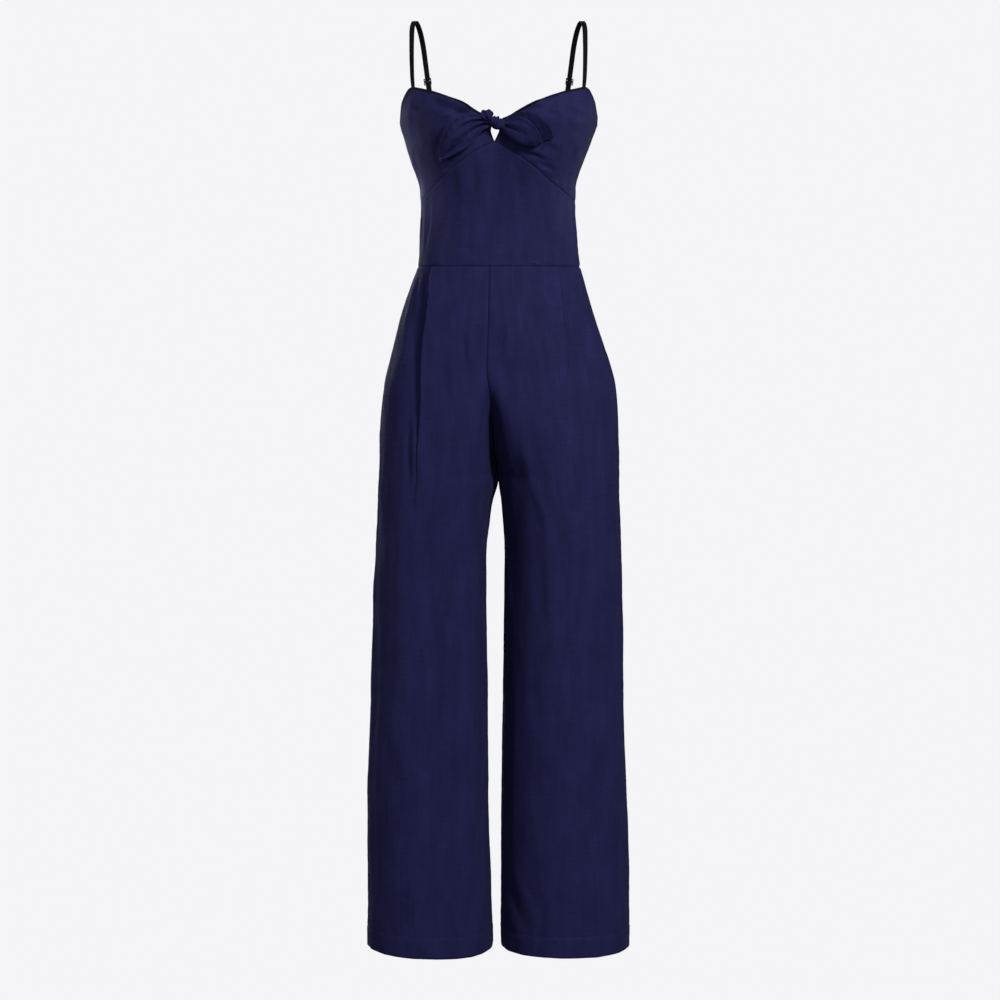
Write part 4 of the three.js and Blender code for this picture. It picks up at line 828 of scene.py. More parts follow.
def tube_object(name, rings, closed=False):
    """A closed skin over rings of points. Its ends are closed too, unless it runs round in a circle."""
    count, size = rings.shape[:2]
    index = np.arange(count * size).reshape(count, size)
    wrap = np.concatenate([index, index[:, :1]], axis=1)
    if closed:
        wrap = np.concatenate([wrap, wrap[:1]], axis=0)
    faces = grid_faces(wrap).tolist()
    points = rings.reshape(-1, 3)
    around = run(np.concatenate([rings, rings[:, :1]], axis=1), 1)[:, :-1]
    along = np.repeat(run(rings, 0).mean(1)[:, None], size, axis=1)
    uv = point(around, along).reshape(-1, 2)
    if not closed:
        ends = np.stack([rings[0].mean(0), rings[-1].mean(0)])
        points = np.concatenate([points, ends])
        uv = np.concatenate([uv, uv[[0, -1]]])
        for k in range(size):
            n = (k + 1) % size
            faces.append([index[0, n], count * size, index[0, k]])
            faces.append([index[-1, k], count * size + 1, index[-1, n]])
    made = mesh_object(name, points, faces, uv)
    face_out(made)
    return made


def face_out(made):
    mesh = bmesh.new()
    mesh.from_mesh(made.data)
    bmesh.ops.recalc_face_normals(mesh, faces=mesh.faces)
    mesh.to_mesh(made.data)
    mesh.free()


def copies_object(name, shape, faces, places, along, side, out):
    """Many copies of one small shape in one mesh, each laid along its own three directions."""
    axes = np.stack([along, side, out], axis=1)
    points = places[:, None, :] + np.einsum("vk,nkc->nvc", shape, axes)
    shifts = np.arange(len(places)) * len(shape)
    all_faces = [[corner + shift for corner in face] for shift in shifts for face in faces]
    return mesh_object(name, points.reshape(-1, 3), all_faces)


def capsule(length, width, thick):
    """Points and faces of a small lozenge with round ends, lying along its first axis."""
    sides = CAPSULE_SIDES
    stations = [(-0.5, 0.35), (-0.32, 1), (0.32, 1), (0.5, 0.35)]
    turns = np.arange(sides) * 2 * math.pi / sides
    shape = [
        (at * length, math.cos(turn) * width / 2 * size, math.sin(turn) * thick / 2 * size)
        for at, size in stations
        for turn in turns
    ]
    faces = [list(range(sides))[::-1], [(len(stations) - 1) * sides + k for k in range(sides)]]
    for ring in range(len(stations) - 1):
        for k in range(sides):
            n = (k + 1) % sides
            faces.append([ring * sides + k, ring * sides + n, (ring + 1) * sides + n, (ring + 1) * sides + k])
    return np.array(shape), faces


def joined(name, parts):
    """One object from several, which are used up."""
    bpy.ops.object.select_all(action="DESELECT")
    for part in parts:
        part.select_set(True)
    bpy.context.view_layer.objects.active = parts[0]
    bpy.ops.object.join()
    parts[0].name = name
    parts[0].data.name = name
    return parts[0]


# Panels

Panel = namedtuple("Panel", "object outer inner normals")


def sewn_panel(name, base, outwards, seams, uv, front=False, hem=False):
    """One cut piece of cloth over its base grid. seams names the edges that are sewn to a neighbour."""
    normals = grid_normals(base, outwards)
    down, across = run(base, 0), run(base, 1)
    edges = {
        "top": (down, across),
        "bottom": (down[-1:] - down, across),
        "first": (across, down),
        "last": (across[:, -1:] - across, down),
    }
    relief = creased(name, sway(base) if front else base, normals)
    for settings in RIPPLES:
        relief += ripple(base, *settings)
    settled = np.ones(base.shape[:-1])
    for edge in seams:
        settled *= smooth(0, SEAM_CALM, edges[edge][0])
    relief *= settled
    for seed, edge in enumerate(seams):
        relief += seam_relief(*edges[edge], seed + 1)
    thick = np.full(base.shape[:-1], CLOTH)
    if hem:
        from_hem = edges["bottom"][0]
        off_stitches = from_hem - HEM_DEEP
        turned = smooth(HEM_DEEP + HEM["soft"], HEM_DEEP - HEM["soft"], from_hem)
        thick = thick + HEM["thick"] * turned
        relief += HEM["out"] * turned - HEM["dip"] * bell(off_stitches, HEM["dip_wide"])
        relief += HEM["pucker"] * wobble(across, 4) * bell(off_stitches, HEM["pucker_wide"])
        relief += HEM["wave"] * wobble(across, 7) * turned
    outer = base + normals * relief[..., None]
    if front:
        outer = sway(outer)
    normals = grid_normals(outer, outwards)
    inner = outer - normals * thick[..., None]
    return Panel(wall_object(name + "_cloth", outer, inner, uv, outwards), outer, inner, normals)


def top_edge(deg):
    return np.where(deg < CORNER_DEG, NECKLINE(deg), ARMHOLE(deg))


def cup(word, side):
    down, across = np.meshgrid(
        spread(CUP_GRID[0], ROWS_CLOSE), spread(CUP_GRID[1], COLUMNS_CLOSE), indexing="ij")
    plain = 90 * across
    z = lerp(top_edge(plain), UNDERBUST(plain), down)
    inner_share = (KEYHOLE(z) / half_width(side, z)) ** (SQUARENESS / 2)
    deg = plain + np.degrees(np.arcsin(inner_share)) * np.maximum(0, 1 - plain / CORNER_DEG)
    z = lerp(top_edge(deg), UNDERBUST(deg), down)
    base = bodice_point(side, deg, z)
    base[..., 0] = side * np.maximum(side * base[..., 0], 0)
    uv = point(run(base, 1), -base[..., 2])
    return sewn_panel(f"cup_{word}", base, side, ["bottom", "last"], front=True, uv=uv)


def midriff():
    shares = 2 * spread(MIDRIFF_GRID[1], COLUMNS_CLOSE) - 1
    down, share = np.meshgrid(spread(MIDRIFF_GRID[0], ROWS_CLOSE), shares, indexing="ij")
    side, deg = np.where(share < 0, RIGHT, LEFT), 90 * np.abs(share)
    base = bodice_point(side, deg, lerp(UNDERBUST(deg), WAIST_Z, down))
    middle = MIDRIFF_GRID[1] // 2
    across = run(base, 1)
    uv = point(across - across[:, middle:middle + 1], -base[..., 2])
    return sewn_panel("midriff", base, 1, ["top", "bottom", "first", "last"], front=True, uv=uv)


def bodice_back(word, side):
    down, across = np.meshgrid(
        spread(BACK_GRID[0], ROWS_CLOSE), spread(BACK_GRID[1], ROWS_CLOSE), indexing="ij")
    deg = lerp(90, 180, across)
    base = bodice_point(side, deg, lerp(top_edge(deg), WAIST_Z, down))
    base[..., 0] = side * np.maximum(side * base[..., 0], 0)
    run_across = run(base, 1)
    uv = point(run_across - run_across[:, -1:], -base[..., 2])
    return sewn_panel(f"bodice_back_{word}", base, side, ["bottom", "first", "last"], uv=uv)


def leg_rows():
    """Heights of a leg's rows, closer together at the waist, the crotch and the hem."""
    upper = lerp(WAIST_Z, CROTCH_Z, spread(LEG_ROWS[0], LEG_CLOSE))
    lower = lerp(CROTCH_Z, HEM_Z, spread(LEG_ROWS[1], LEG_CLOSE))
    return np.concatenate([upper, lower[1:]])[:, None]


def trouser_front(word, side):
    z = leg_rows()
    clip, pleat = leg_section(side, z)[3], pleat_angle(side, z)
    inside = np.sin(spread(FRONT_COLUMNS[0], PLEAT_CLOSE) * math.pi / 2) ** PLEAT_POWER
    outside = 1 - np.cos(spread(FRONT_COLUMNS[1], PLEAT_CLOSE) * math.pi / 2) ** PLEAT_POWER
    angle = np.concatenate([lerp(clip, pleat, inside), lerp(pleat, 0, outside)[:, 1:]], axis=1)
    base = leg_point(side, FRONT, angle, np.broadcast_to(z, angle.shape))
    across, down = run(base, 1), run(base, 0)
    uv = point(across - across[:, FRONT_COLUMNS[0]:FRONT_COLUMNS[0] + 1], down)
    name = f"trouser_front_{word}"
    return sewn_panel(name, base, side, ["top", "first", "last"], front=True, hem=True, uv=uv)


def trouser_back(word, side):
    z = leg_rows()
    clip = leg_section(side, z)[3]
    angle = lerp(0, clip, spread(BACK_COLUMNS, LEG_CLOSE))
    base = leg_point(side, BACK, angle, np.broadcast_to(z, angle.shape))
    across, down = run(base, 1), run(base, 0)
    uv = point(across - across[:, BACK_COLUMNS // 2:BACK_COLUMNS // 2 + 1], down)
    name = f"trouser_back_{word}"
    return sewn_panel(name, base, side, ["top", "first", "last"], hem=True, uv=uv)


def hem_row(outer):
    """The row of a leg's grid that lies nearest to the hem's stitches."""
    down = run(outer, 0)[:, HEM_COLUMN]
    return int(np.argmin(np.abs(down - (down[-1] - HEM_DEEP))))


def edge_binding(name, panel, edge, width):
    """The narrow bound edge of a neckline or armhole, wrapped over the panel's top row or inner column."""
    if edge == "top":
        outer, inner, next_row = panel.outer[0], panel.inner[0], panel.outer[1]
    else:
        outer, inner, next_row = panel.outer[:, 0], panel.inner[:, 0], panel.outer[:, 1]
    centre, out = (outer + inner) / 2, unit(outer - inner)
    into = unit(next_row - outer)
    half = CLOTH / 2 + BINDING["thick"]
    past = BINDING["past"]
    one_face = [(half * 0.75, width), (half, width * 0.8), (half, 0.3), (half * 0.8, -past / 2)]
    section = one_face + [(0, -past)] + [(-a, b) for a, b in reversed(one_face)]
    rings = np.stack([centre + out * a + into * b for a, b in section], axis=1)
    return tube_object(name, rings)


# The tie


def gathered(groups, across, share):
    """Height that the gathers give to a tail, at a share of its length."""
    height = np.zeros(across.shape)
    for group in groups:
        fading = 1 - smooth(group.out_from, group.out_to, share)
        strength = smooth(group.in_from, group.in_to, share) * fading
        for place, drift, width, tall in group.gathers:
            height += strength * tall * bell(across - place - drift * share, width)
    return height


def right_tail():
    rows, columns = RIGHT_TAIL_GRID
    across, along = np.meshgrid(
        spread(rows, TAIL_CLOSE), np.linspace(0, TAIL_LENGTH, columns), indexing="ij")
    t = RIGHT_TAIL
    x = lerp(t["up_x"](along), t["low_x"](along), across)
    z = lerp(t["up_z"](along), t["low_z"](along), across)
    up, middle, low = t["up"](along), t["middle"](along), t["low"](along)
    height = lerp(up, low, across) + np.sin(math.pi * across) * (middle - (up + low) / 2)
    height += gathered(RIGHT_GATHERS, across, along / TAIL_LENGTH)
    return tail_object("tie_tail_right", over_cup(x, z, height), -1)


def left_tail():
    rows, columns = LEFT_TAIL_GRID
    across, along = np.meshgrid(
        np.linspace(0, 1, rows), np.linspace(0, TAIL_LENGTH, columns), indexing="ij")
    t = LEFT_TAIL
    behind, away = across < 0.5, np.abs(across * 2 - 1)
    x = lerp(t["fold_x"](along), np.where(behind, t["back_x"](along), t["edge_x"](along)), away)
    z = lerp(t["fold_z"](along), np.where(behind, t["back_z"](along), t["edge_z"](along)), away)
    lift = t["lift"](along)
    rim = RIM_RISE * t["rim"](along) * away**RIM_SHARPNESS
    target = np.where(behind, LEFT_TAIL_BACK + rim, lift)
    height = lerp((LEFT_TAIL_BACK + lift) / 2, target, np.sqrt(1 - (1 - away) ** 4))
    in_front = np.where(behind, 0, 1) * smooth(0, 0.2, away)
    height += in_front * gathered(LEFT_GATHERS, away, along / TAIL_LENGTH)
    return tail_object("tie_tail_left", over_cup(x, z, height), 1)


def tail_object(name, outer, outwards):
    outer = outer + grid_normals(outer, outwards) * ripple(outer, *TAIL_RIPPLE)[..., None]
    normals = grid_normals(outer, outwards)
    inner = outer - normals * TAIL_CLOTH
    uv = point(run(outer, 1), run(outer, 0))
    return Panel(wall_object(name + "_cloth", outer, inner, uv, outwards), outer, inner, normals)


def knot_turn(name, turn):
    """One turn of the knot: gathered cloth, with ridges across its length."""
    rows, columns = KNOT_GRID
    lengths, angles = np.meshgrid(
        np.cos(np.linspace(KNOT_END, math.pi - KNOT_END, rows)),
        np.linspace(0, 2 * math.pi, columns, endpoint=False), indexing="ij")
    girth = np.sqrt(1 - lengths**2)
    relief = np.zeros(lengths.shape)
    for place, width, height in turn.ridges:
        relief += height * bell(lengths - place - turn.twist * np.sin(angles + place * 2), width)
    relief = (relief - 1) * girth**KNOT_TAPER
    long = lengths * turn.half_long
    up = np.cos(angles) * (girth * turn.half_short + relief)
    out = np.sin(angles) * (girth * turn.half_deep + relief)
    angle = math.radians(turn.turn)
    middle = front_depth(before_sway(turn.x, turn.z), turn.z) - KNOT_STANDS_OFF - turn.half_deep
    x = turn.x + long * math.cos(angle) - up * math.sin(angle)
    z = turn.z + long * math.sin(angle) + up * math.cos(angle)
    return tube_object(name, point(x, middle - out, z))


# Straps and their hardware


def bodice_normal(side, deg, z):
    ahead, behind = min(deg + PROBE_DEG, 180), max(deg - PROBE_DEG, 0)
    across = bodice_point(side, ahead, z) - bodice_point(side, behind, z)
    down = bodice_point(side, deg, z - 1) - bodice_point(side, deg, z + 1)
    return unit(np.cross(down, across)) * side


def behind_bodice(side, deg, z, inwards):
    """A point behind the bodice's outer face, with the level normal there."""
    normal = bodice_normal(side, deg, z)
    place = bodice_point(side, deg, z) - normal * inwards
    if deg < 90:
        place = sway(place[None])[0]
    return place, unit(normal * np.array([1, 1, 0]))


def back_anchor(side):
    edge_z = float(top_edge(STRAP_BACK_DEG))
    middle = WALL_CLOTH + SEWN_GAP + LOOP["thick"] + SEAM_GAP / 2
    return (*behind_bodice(side, STRAP_BACK_DEG, edge_z, middle), edge_z)


class Path:
    """A smooth line through points, with the turn of the ribbon that follows it."""

    def __init__(self, points, turns, side):
        self.side = side
        at = np.linspace(0, len(points) - 1, PATH_SAMPLES + 1)
        self.at = at / (len(points) - 1)
        self.place = self.through(np.array(points, float), at)
        self.along = unit(np.gradient(self.place, axis=0))
        steps = np.linalg.norm(np.diff(self.place, axis=0), axis=1)
        self.run = np.concatenate([[0], np.cumsum(steps)])
        self.length = self.run[-1]
        self.turn = Curve(np.linspace(0, 1, len(turns)), turns)

    @staticmethod
    def through(points, at):
        """Centripetal spline, so that it doesn't loop or swing between uneven points."""
        ends = [2 * points[0] - points[1], *points, 2 * points[-1] - points[-2]]
        ends = np.array(ends)
        i = np.clip(at.astype(int), 0, len(points) - 2)
        t = (at - i)[:, None]
        p0, p1, p2, p3 = (ends[i + k] for k in range(4))
        d0, d1, d2 = (np.linalg.norm(b - a, axis=1, keepdims=True) ** 0.5
                      for a, b in ((p0, p1), (p1, p2), (p2, p3)))
        m1 = ((p1 - p0) / d0 - (p2 - p0) / (d0 + d1) + (p2 - p1) / d1) * d1
        m2 = ((p2 - p1) / d1 - (p3 - p1) / (d1 + d2) + (p3 - p2) / d2) * d1
        return (p1 + m1 * t + (-3 * p1 + 3 * p2 - 2 * m1 - m2) * t**2
                + (2 * p1 - 2 * p2 + m1 + m2) * t**3)

    def frame(self, share, lift=0.0):
        """Point, and directions along, across the width and out of the face, at a share of the length."""
        where = share * self.length
        at = np.interp(where, self.run, self.at)
        place = np.array([np.interp(where, self.run, self.place[:, k]) for k in range(3)])
        along = unit(np.array([np.interp(where, self.run, self.along[:, k]) for k in range(3)]))
        angle = math.radians(float(self.turn(at)))
        width = np.array([self.side * math.cos(angle), math.sin(angle), 0])
        out = unit(np.cross(width, along)) * self.side
        width = unit(np.cross(along, out)) * self.side
        return place + out * lift, along, width, out


def strap_path(side):
    inwards = WALL_CLOTH + SEWN_GAP + STRAP["thick"] / 2
    first, first_normal = behind_bodice(side, STRAP_FRONT["deg"], STRAP_FRONT["z"], inwards)
    second, second_normal = behind_bodice(side, STRAP_FRONT["deg"], STRAP_FRONT["edge_z"], inwards)
    last, last_normal, edge_z = back_anchor(side)
    ring_top = edge_z + LOOP["above"] + RING["height"] - RING["bar"]
    end = last + last_normal * (RING_APART + STRAP["thick"]) / 2
    end[2] = ring_top
    before_end = end + np.array([0, 0, STRAIGHT_END])
    route = [np.array([side * x, y, z], float) for x, y, z, _ in STRAP_ROUTE]

    def turn_at(normal):
        return -math.degrees(math.atan2(normal[0] * side, normal[1]))

    turns = [turn_at(first_normal) + 180, turn_at(second_normal) + 180, *[row[3] for row in STRAP_ROUTE]]
    turns += [turn_at(last_normal)] * 2
    return Path([first, second, *route, before_end, end], turns, side)


def ribbon(name, frames, width, thick):
    """A flat woven strap with rounded edges through a list of frames."""
    half, deep = width / 2, thick / 2
    shoulder, flat, low = half - RIBBON_EDGE, half * RIBBON_FLAT, deep * RIBBON_SHOULDER
    section = [
        (-half, 0), (-shoulder, -low), (-flat, -deep), (flat, -deep), (shoulder, -low),
        (half, 0), (shoulder, low), (flat, deep), (-flat, deep), (-shoulder, low),
    ]
    rings = [[place + across * a + out * b for a, b in section] for place, _, across, out in frames]
    return tube_object(name, np.array(rings))


def half_turn(end, apart):
    """Frames of a ribbon that turns back on itself, so far apart."""
    place, along, width, out = end
    pivot = place - out * apart / 2
    frames = []
    for i in range(1, HALF_TURN_STEPS):
        angle = math.pi * i / HALF_TURN_STEPS
        way = out * math.cos(angle) + along * math.sin(angle)
        frames.append((pivot + way * apart / 2, along, width, way))
    return frames


def strap(word, side):
    path = strap_path(side)
    middle = 1 - SLIDER["from_ring"] / path.length
    slope_from = SLIDER["bar"] / 2 + SLOPE_ROOM
    slope_to = SLIDER["height"] / 2 - SLIDER["bar"] - SLOPE_ROOM
    crest = SLIDER["lift"] + SLIDER["thick"] / 2 + SEAM_GAP + STRAP["thick"] / 2
    frames = []
    plain_to = middle - slope_to / path.length
    plain_from = middle + slope_to / path.length
    for share in np.linspace(0, plain_to, STRAP_STEPS["front"]):
        frames.append(path.frame(share))
    for share in np.linspace(plain_to, plain_from, STRAP_STEPS["slider"])[1:-1]:
        off = abs(share - middle) * path.length
        frames.append(path.frame(share, crest * (1 - smooth(slope_from, slope_to, off))))
    for share in np.linspace(plain_from, 1, STRAP_STEPS["back"]):
        frames.append(path.frame(share))
    apart = RING_APART + STRAP["thick"]
    frames += half_turn(path.frame(1), apart)
    for share in np.linspace(0, 1, STRAP_STEPS["back"]):
        closed = min(1, share * 2)
        close = lerp(apart, STRAP["thick"] + SEAM_GAP, closed)
        place, along, width, out = path.frame(lerp(1, middle, share), -close)
        frames.append((place, along, width, -out))
    return ribbon(f"strap_{word}_webbing", frames, STRAP["width"], STRAP["thick"])


def strap_loop(word, side):
    place, normal, edge_z = back_anchor(side)
    width = np.array([-normal[1], normal[0], 0])
    up = np.array([0, 0, 1.0])
    apart = RING_APART + LOOP["thick"]

    def sewn(leg, z):
        inwards = WALL_CLOTH + SEWN_GAP + LOOP["thick"] / 2 + leg * (LOOP["thick"] + SEAM_GAP)
        return behind_bodice(side, STRAP_BACK_DEG, z, inwards)[0], up, width, normal * (1 - 2 * leg)

    def above(leg, height):
        way = normal * (1 - 2 * leg)
        return np.array([*place[:2], edge_z + height]) + way * apart / 2, up, width, way

    def legs(leg):
        low = [sewn(leg, z) for z in np.linspace(edge_z - LOOP["below"], edge_z, LOOP_SEWN_STEPS)]
        return low + [above(leg, LOOP["above"] * share) for share in LOOP_FREE_SHARES]

    frames = legs(0) + half_turn(above(0, LOOP["above"]), apart) + legs(1)[::-1]
    return ribbon(f"strap_loop_{word}_webbing", frames, LOOP["width"], LOOP["thick"])


def bar_frame(name, size, windows, place, across, out):
    """A cast frame of bars with windows one above another, its edges rounded."""
    width, height, bar, thick = (size[key] for key in ("width", "height", "bar", "thick"))
    clear = (height - bar * (windows + 1)) / windows
    columns = np.array([-width / 2, -width / 2 + bar, width / 2 - bar, width / 2])
    rows = [-height / 2]
    for _ in range(windows):
        rows += [rows[-1] + bar, rows[-1] + bar + clear]
    rows.append(rows[-1] + bar)
    cells = bmesh.new()
    up = np.cross(out, across)
    corners = {}

    def corner(i, j, k):
        if (i, j, k) not in corners:
            spot = place + across * columns[i] + up * rows[j] + out * (k - 0.5) * thick
            corners[i, j, k] = cells.verts.new(tuple(spot * MM))
        return corners[i, j, k]

    solid = {(i, j) for i in range(3) for j in range(len(rows) - 1) if i != 1 or j % 2 == 0}
    for i, j in sorted(solid):
        for k in (0, 1):
            around = ((i, j), (i + 1, j), (i + 1, j + 1), (i, j + 1))
            cells.faces.new([corner(*spot, k) for spot in around])
        sides = {(i - 1, j): ((i, j), (i, j + 1)), (i + 1, j): ((i + 1, j), (i + 1, j + 1)),
                 (i, j - 1): ((i, j), (i + 1, j)), (i, j + 1): ((i, j + 1), (i + 1, j + 1))}
        for neighbour, (a, b) in sides.items():
            if neighbour not in solid:
                cells.faces.new([corner(*a, 0), corner(*b, 0), corner(*b, 1), corner(*a, 1)])
    bmesh.ops.recalc_face_normals(cells, faces=cells.faces)
    return bevelled(name, cells, CAST_EDGE)


def bevelled(name, cells, radius):
    mesh = bpy.data.meshes.new(name)
    cells.to_mesh(mesh)
    cells.free()
    made = bpy.data.objects.new(name, mesh)
    bpy.context.scene.collection.objects.link(made)
    bevel = made.modifiers.new("Rounded edges", "BEVEL")
    bevel.width = radius * MM
    bevel.segments = CAST_SEGMENTS
    bevel.limit_method = "ANGLE"
    bevel.angle_limit = math.radians(CAST_FROM_DEG)
    for polygon in mesh.polygons:
        polygon.use_smooth = True
    return made


def slider(word, side):
    path = strap_path(side)
    place, _, width, out = path.frame(1 - SLIDER["from_ring"] / path.length, SLIDER["lift"])
    return bar_frame(f"strap_slider_{word}_cast", SLIDER, 2, place, width, out)


def ring(word, side):
    place, normal, edge_z = back_anchor(side)
    centre = np.array([*place[:2], edge_z + LOOP["above"] + (RING["height"] - RING["bar"]) / 2])
    across = np.array([-normal[1], normal[0], 0])
    return bar_frame(f"strap_ring_{word}_cast", RING, 1, centre, across, normal)


# Zip


def block(cells, centre, size):
    """A box among the cells, in millimetres."""
    matrix = [[size[0] * MM, 0, 0, centre[0] * MM], [0, size[1] * MM, 0, centre[1] * MM],
              [0, 0, size[2] * MM, centre[2] * MM], [0, 0, 0, 1]]
    bmesh.ops.create_cube(cells, size=1, matrix=Matrix(matrix))


def zip_slider():
    width, height, z = ZIP_SLIDER["width"], ZIP_SLIDER["height"], ZIP_SLIDER["z"]
    thick, inner = ZIP_SLIDER["thick"], ZIP_SLIDER["inner"]
    face = float(back_depth(0, z))
    inner_face = -WALL_CLOTH - ZIP["gap"] - ZIP["thick"] - ZIP_SLIDER["clear"]
    outer_face = ZIP_SLIDER["lift"]
    neck_deep = outer_face - inner_face + 2 * ZIP_SLIDER["neck_sunk"]
    neck = (ZIP_SLIDER["neck"], neck_deep, ZIP_SLIDER["neck_high"])
    cells = bmesh.new()
    block(cells, (0, face + inner_face - inner / 2, z), (width, inner, height))
    block(cells, (0, face + (inner_face + outer_face) / 2, z), neck)
    block(cells, (0, face + outer_face + thick / 2, z), (width, thick, height))
    for side in (RIGHT, LEFT):
        x = side * (ZIP_PIN["cheek_from"] + ZIP_PIN["cheek_to"]) / 2
        deep = ZIP_PIN["out"] - outer_face
        y = face + outer_face + deep / 2 + ZIP_PIN["radius"]
        cheek_wide = ZIP_PIN["cheek_to"] - ZIP_PIN["cheek_from"]
        block(cells, (x, y, z), (cheek_wide, deep + ZIP_PIN["cheek_past"], ZIP_PIN["cheek_high"]))
    body = bevelled("zip_slider_body", cells, ZIP_SLIDER["edge"])
    turns = np.linspace(0, 2 * math.pi, ZIP_STEPS["pin"], endpoint=False)
    pin_end = ZIP_PIN["cheek_to"] - ZIP_PIN["short"]
    pin_at = np.linspace(-pin_end, pin_end, 3)
    spots, angles = np.meshgrid(pin_at, turns, indexing="ij")
    radius = ZIP_PIN["radius"]
    pin = tube_object("zip_slider_pin", point(
        spots, face + ZIP_PIN["out"] + radius * np.cos(angles), z + radius * np.sin(angles)))
    return body, pin


def zip_pull():
    """The pull: an eye round the pin and a flat drop that hangs below it."""
    z, y = ZIP_SLIDER["z"], float(back_depth(0, ZIP_SLIDER["z"])) + ZIP_PIN["out"]
    size = ZIP_PULL
    turns = np.linspace(0, 2 * math.pi, ZIP_STEPS["eye"], endpoint=False)
    middle = (size["eye_outer"] + size["eye_hole"]) / 2
    deep, half = (size["eye_outer"] - size["eye_hole"]) / 2, size["eye_width"] / 2
    round_turns = np.linspace(0, 2 * math.pi, ZIP_STEPS["section"], endpoint=False)
    section = [(math.cos(a), math.sin(a)) for a in round_turns]
    section = [(math.copysign(abs(c) ** 0.5, c), math.copysign(abs(s) ** 0.5, s)) for c, s in section]
    eye = np.array([
        [(half * b, y + (middle + deep * a) * math.cos(t), z + (middle + deep * a) * math.sin(t))
         for a, b in section]
        for t in turns
    ])
    ring_object = tube_object("zip_pull_eye", eye, closed=True)
    rows = []
    for down in np.linspace(PULL_TOP, PULL_LOW, ZIP_STEPS["drop"]):
        wide = float(PULL_HALF_WIDTH(down))
        thick = size["half_thick"] - size["dimple"] * bell(down - size["dimple_down"], size["dimple_spread"])
        rows.append([(wide * c, y + thick * s, z - down) for c, s in section])
    drop = tube_object("zip_pull_drop", np.array(rows))
    return joined("zip_pull_cast", [ring_object, drop])


def zip_tape(word, side):
    rows, columns = ZIP_TAPE_GRID
    inwards = WALL_CLOTH + ZIP["gap"]
    grid = []
    for z in np.linspace(ZIP["top_z"], ZIP["low_z"], rows):
        first = SLOT["half"] if z > SLOT["low_z"] else SEAM_GAP / 2
        across = side * np.linspace(first, ZIP["half"], columns)
        grid.append([(x, float(back_depth(x, z)) - inwards, z) for x in across])
    outer = np.array(grid)
    normals = grid_normals(outer, -side)
    inner = outer - normals * ZIP["thick"]
    uv = point(run(outer, 1), run(outer, 0))
    return wall_object(f"zip_tape_{word}_weave", outer, inner, uv, -side)


def zip_teeth():
    """The coil of the closed zip, seen through the slot at its top and from inside."""
    shape, faces = capsule(TOOTH["long"], TOOTH["wide"], TOOTH["thick"])
    z = np.arange(TEETH_FROM, TEETH_TO, -TOOTH["pitch"])
    side = np.where(np.arange(len(z)) % 2, RIGHT, LEFT)
    inwards = WALL_CLOTH + ZIP["gap"] + ZIP["thick"] + TOOTH["clear"]
    y = np.array([float(back_depth(0, height)) for height in z]) - inwards
    places = point(side * TOOTH["off_middle"], y, z)
    count = len(z)
    along = np.tile([1.0, 0, 0], (count, 1))
    return copies_object("zip_teeth_coil", shape, faces, places, along,
                         np.tile([0, 0, 1.0], (count, 1)), np.tile([0, -1.0, 0], (count, 1)))


# Stitching


def stitch_row(name, line, out):
    """A row of machine stitches along a line on the cloth."""
    steps = np.linalg.norm(np.diff(line, axis=0), axis=1)
    where = np.concatenate([[0], np.cumsum(steps)])
    length = STITCH["long"]
    middles = np.arange(length, where[-1] - length, length + STITCH["gap"])

    def followed(track, at):
        return np.stack([np.interp(at, where, track[:, k]) for k in range(3)], -1)

    places = followed(line, middles)
    normals = unit(followed(out, middles))
    along = unit(followed(line, middles + 0.5) - places)
    shape, faces = capsule(length, STITCH["wide"], STITCH["thick"])
    raised = places + normals * STITCH["lift"]
    return copies_object(name, shape, faces, raised, along, np.cross(normals, along), normals)


def loose_thread():
    """The end of thread that lies over the waist seam on the wearer's left."""
    thread = LOOSE_THREAD
    share = np.linspace(0, 1, THREAD_STEPS["long"])
    x = lerp(*thread["x"], share)
    z = lerp(*thread["z"], share) + thread["wave"] * np.sin(share * thread["wave_turns"])
    middle = over_cup(x, z, thread["lift"] + thread["bow"] * np.sin(math.pi * share))
    turns = np.linspace(0, 2 * math.pi, THREAD_STEPS["round"], endpoint=False)
    inside = np.clip(share, thread["tip"], 1 - thread["tip"])
    radius = thread["radius"] * np.sin(math.pi * inside)[:, None] ** thread["taper"]
    rings = middle[:, None, :] + point(0 * turns, np.cos(turns), np.sin(turns)) * radius[..., None]
    return tube_object("waist_loose_thread", rings)


# Materials

# Patches of the yarn and the dye, in metres: their width and their height
SLUB_DOWN = (0.0016, 0.05)
SLUB_ACROSS = (0.03, 0.0013)
DYE_PATCH = (0.035, 0.06)
BAND_PATCH = (0.017, 0.09)
WORN_PATCH = (0.004, 0.02)
LINEN_THREAD = 0.0006
WEBBING_THREAD = 0.00045
MIX_FACTOR, MIX_FIRST, MIX_SECOND, MIX_RESULT = 0, 6, 7, 2


def put(tree, kind, named=None, ordered=(), **settings):
    """A node with its settings, its inputs linked or set by name or in order."""
    made = tree.nodes.new(kind)
    for key, value in settings.items():
        setattr(made, key, value)
    for key, value in [*(named or {}).items(), *enumerate(ordered)]:
        if value is None:
            continue
        if isinstance(value, bpy.types.NodeSocket):
            tree.links.new(value, made.inputs[key])
        else:
            made.inputs[key].default_value = value
    return made


def calc(tree, operation, *values):
    return put(tree, "ShaderNodeMath", ordered=values, operation=operation).outputs[0]


def between(tree, value, low, high, to_low=0.0, to_high=1.0):
    return put(tree, "ShaderNodeMapRange", ordered=(value, low, high, to_low, to_high)).outputs[0]


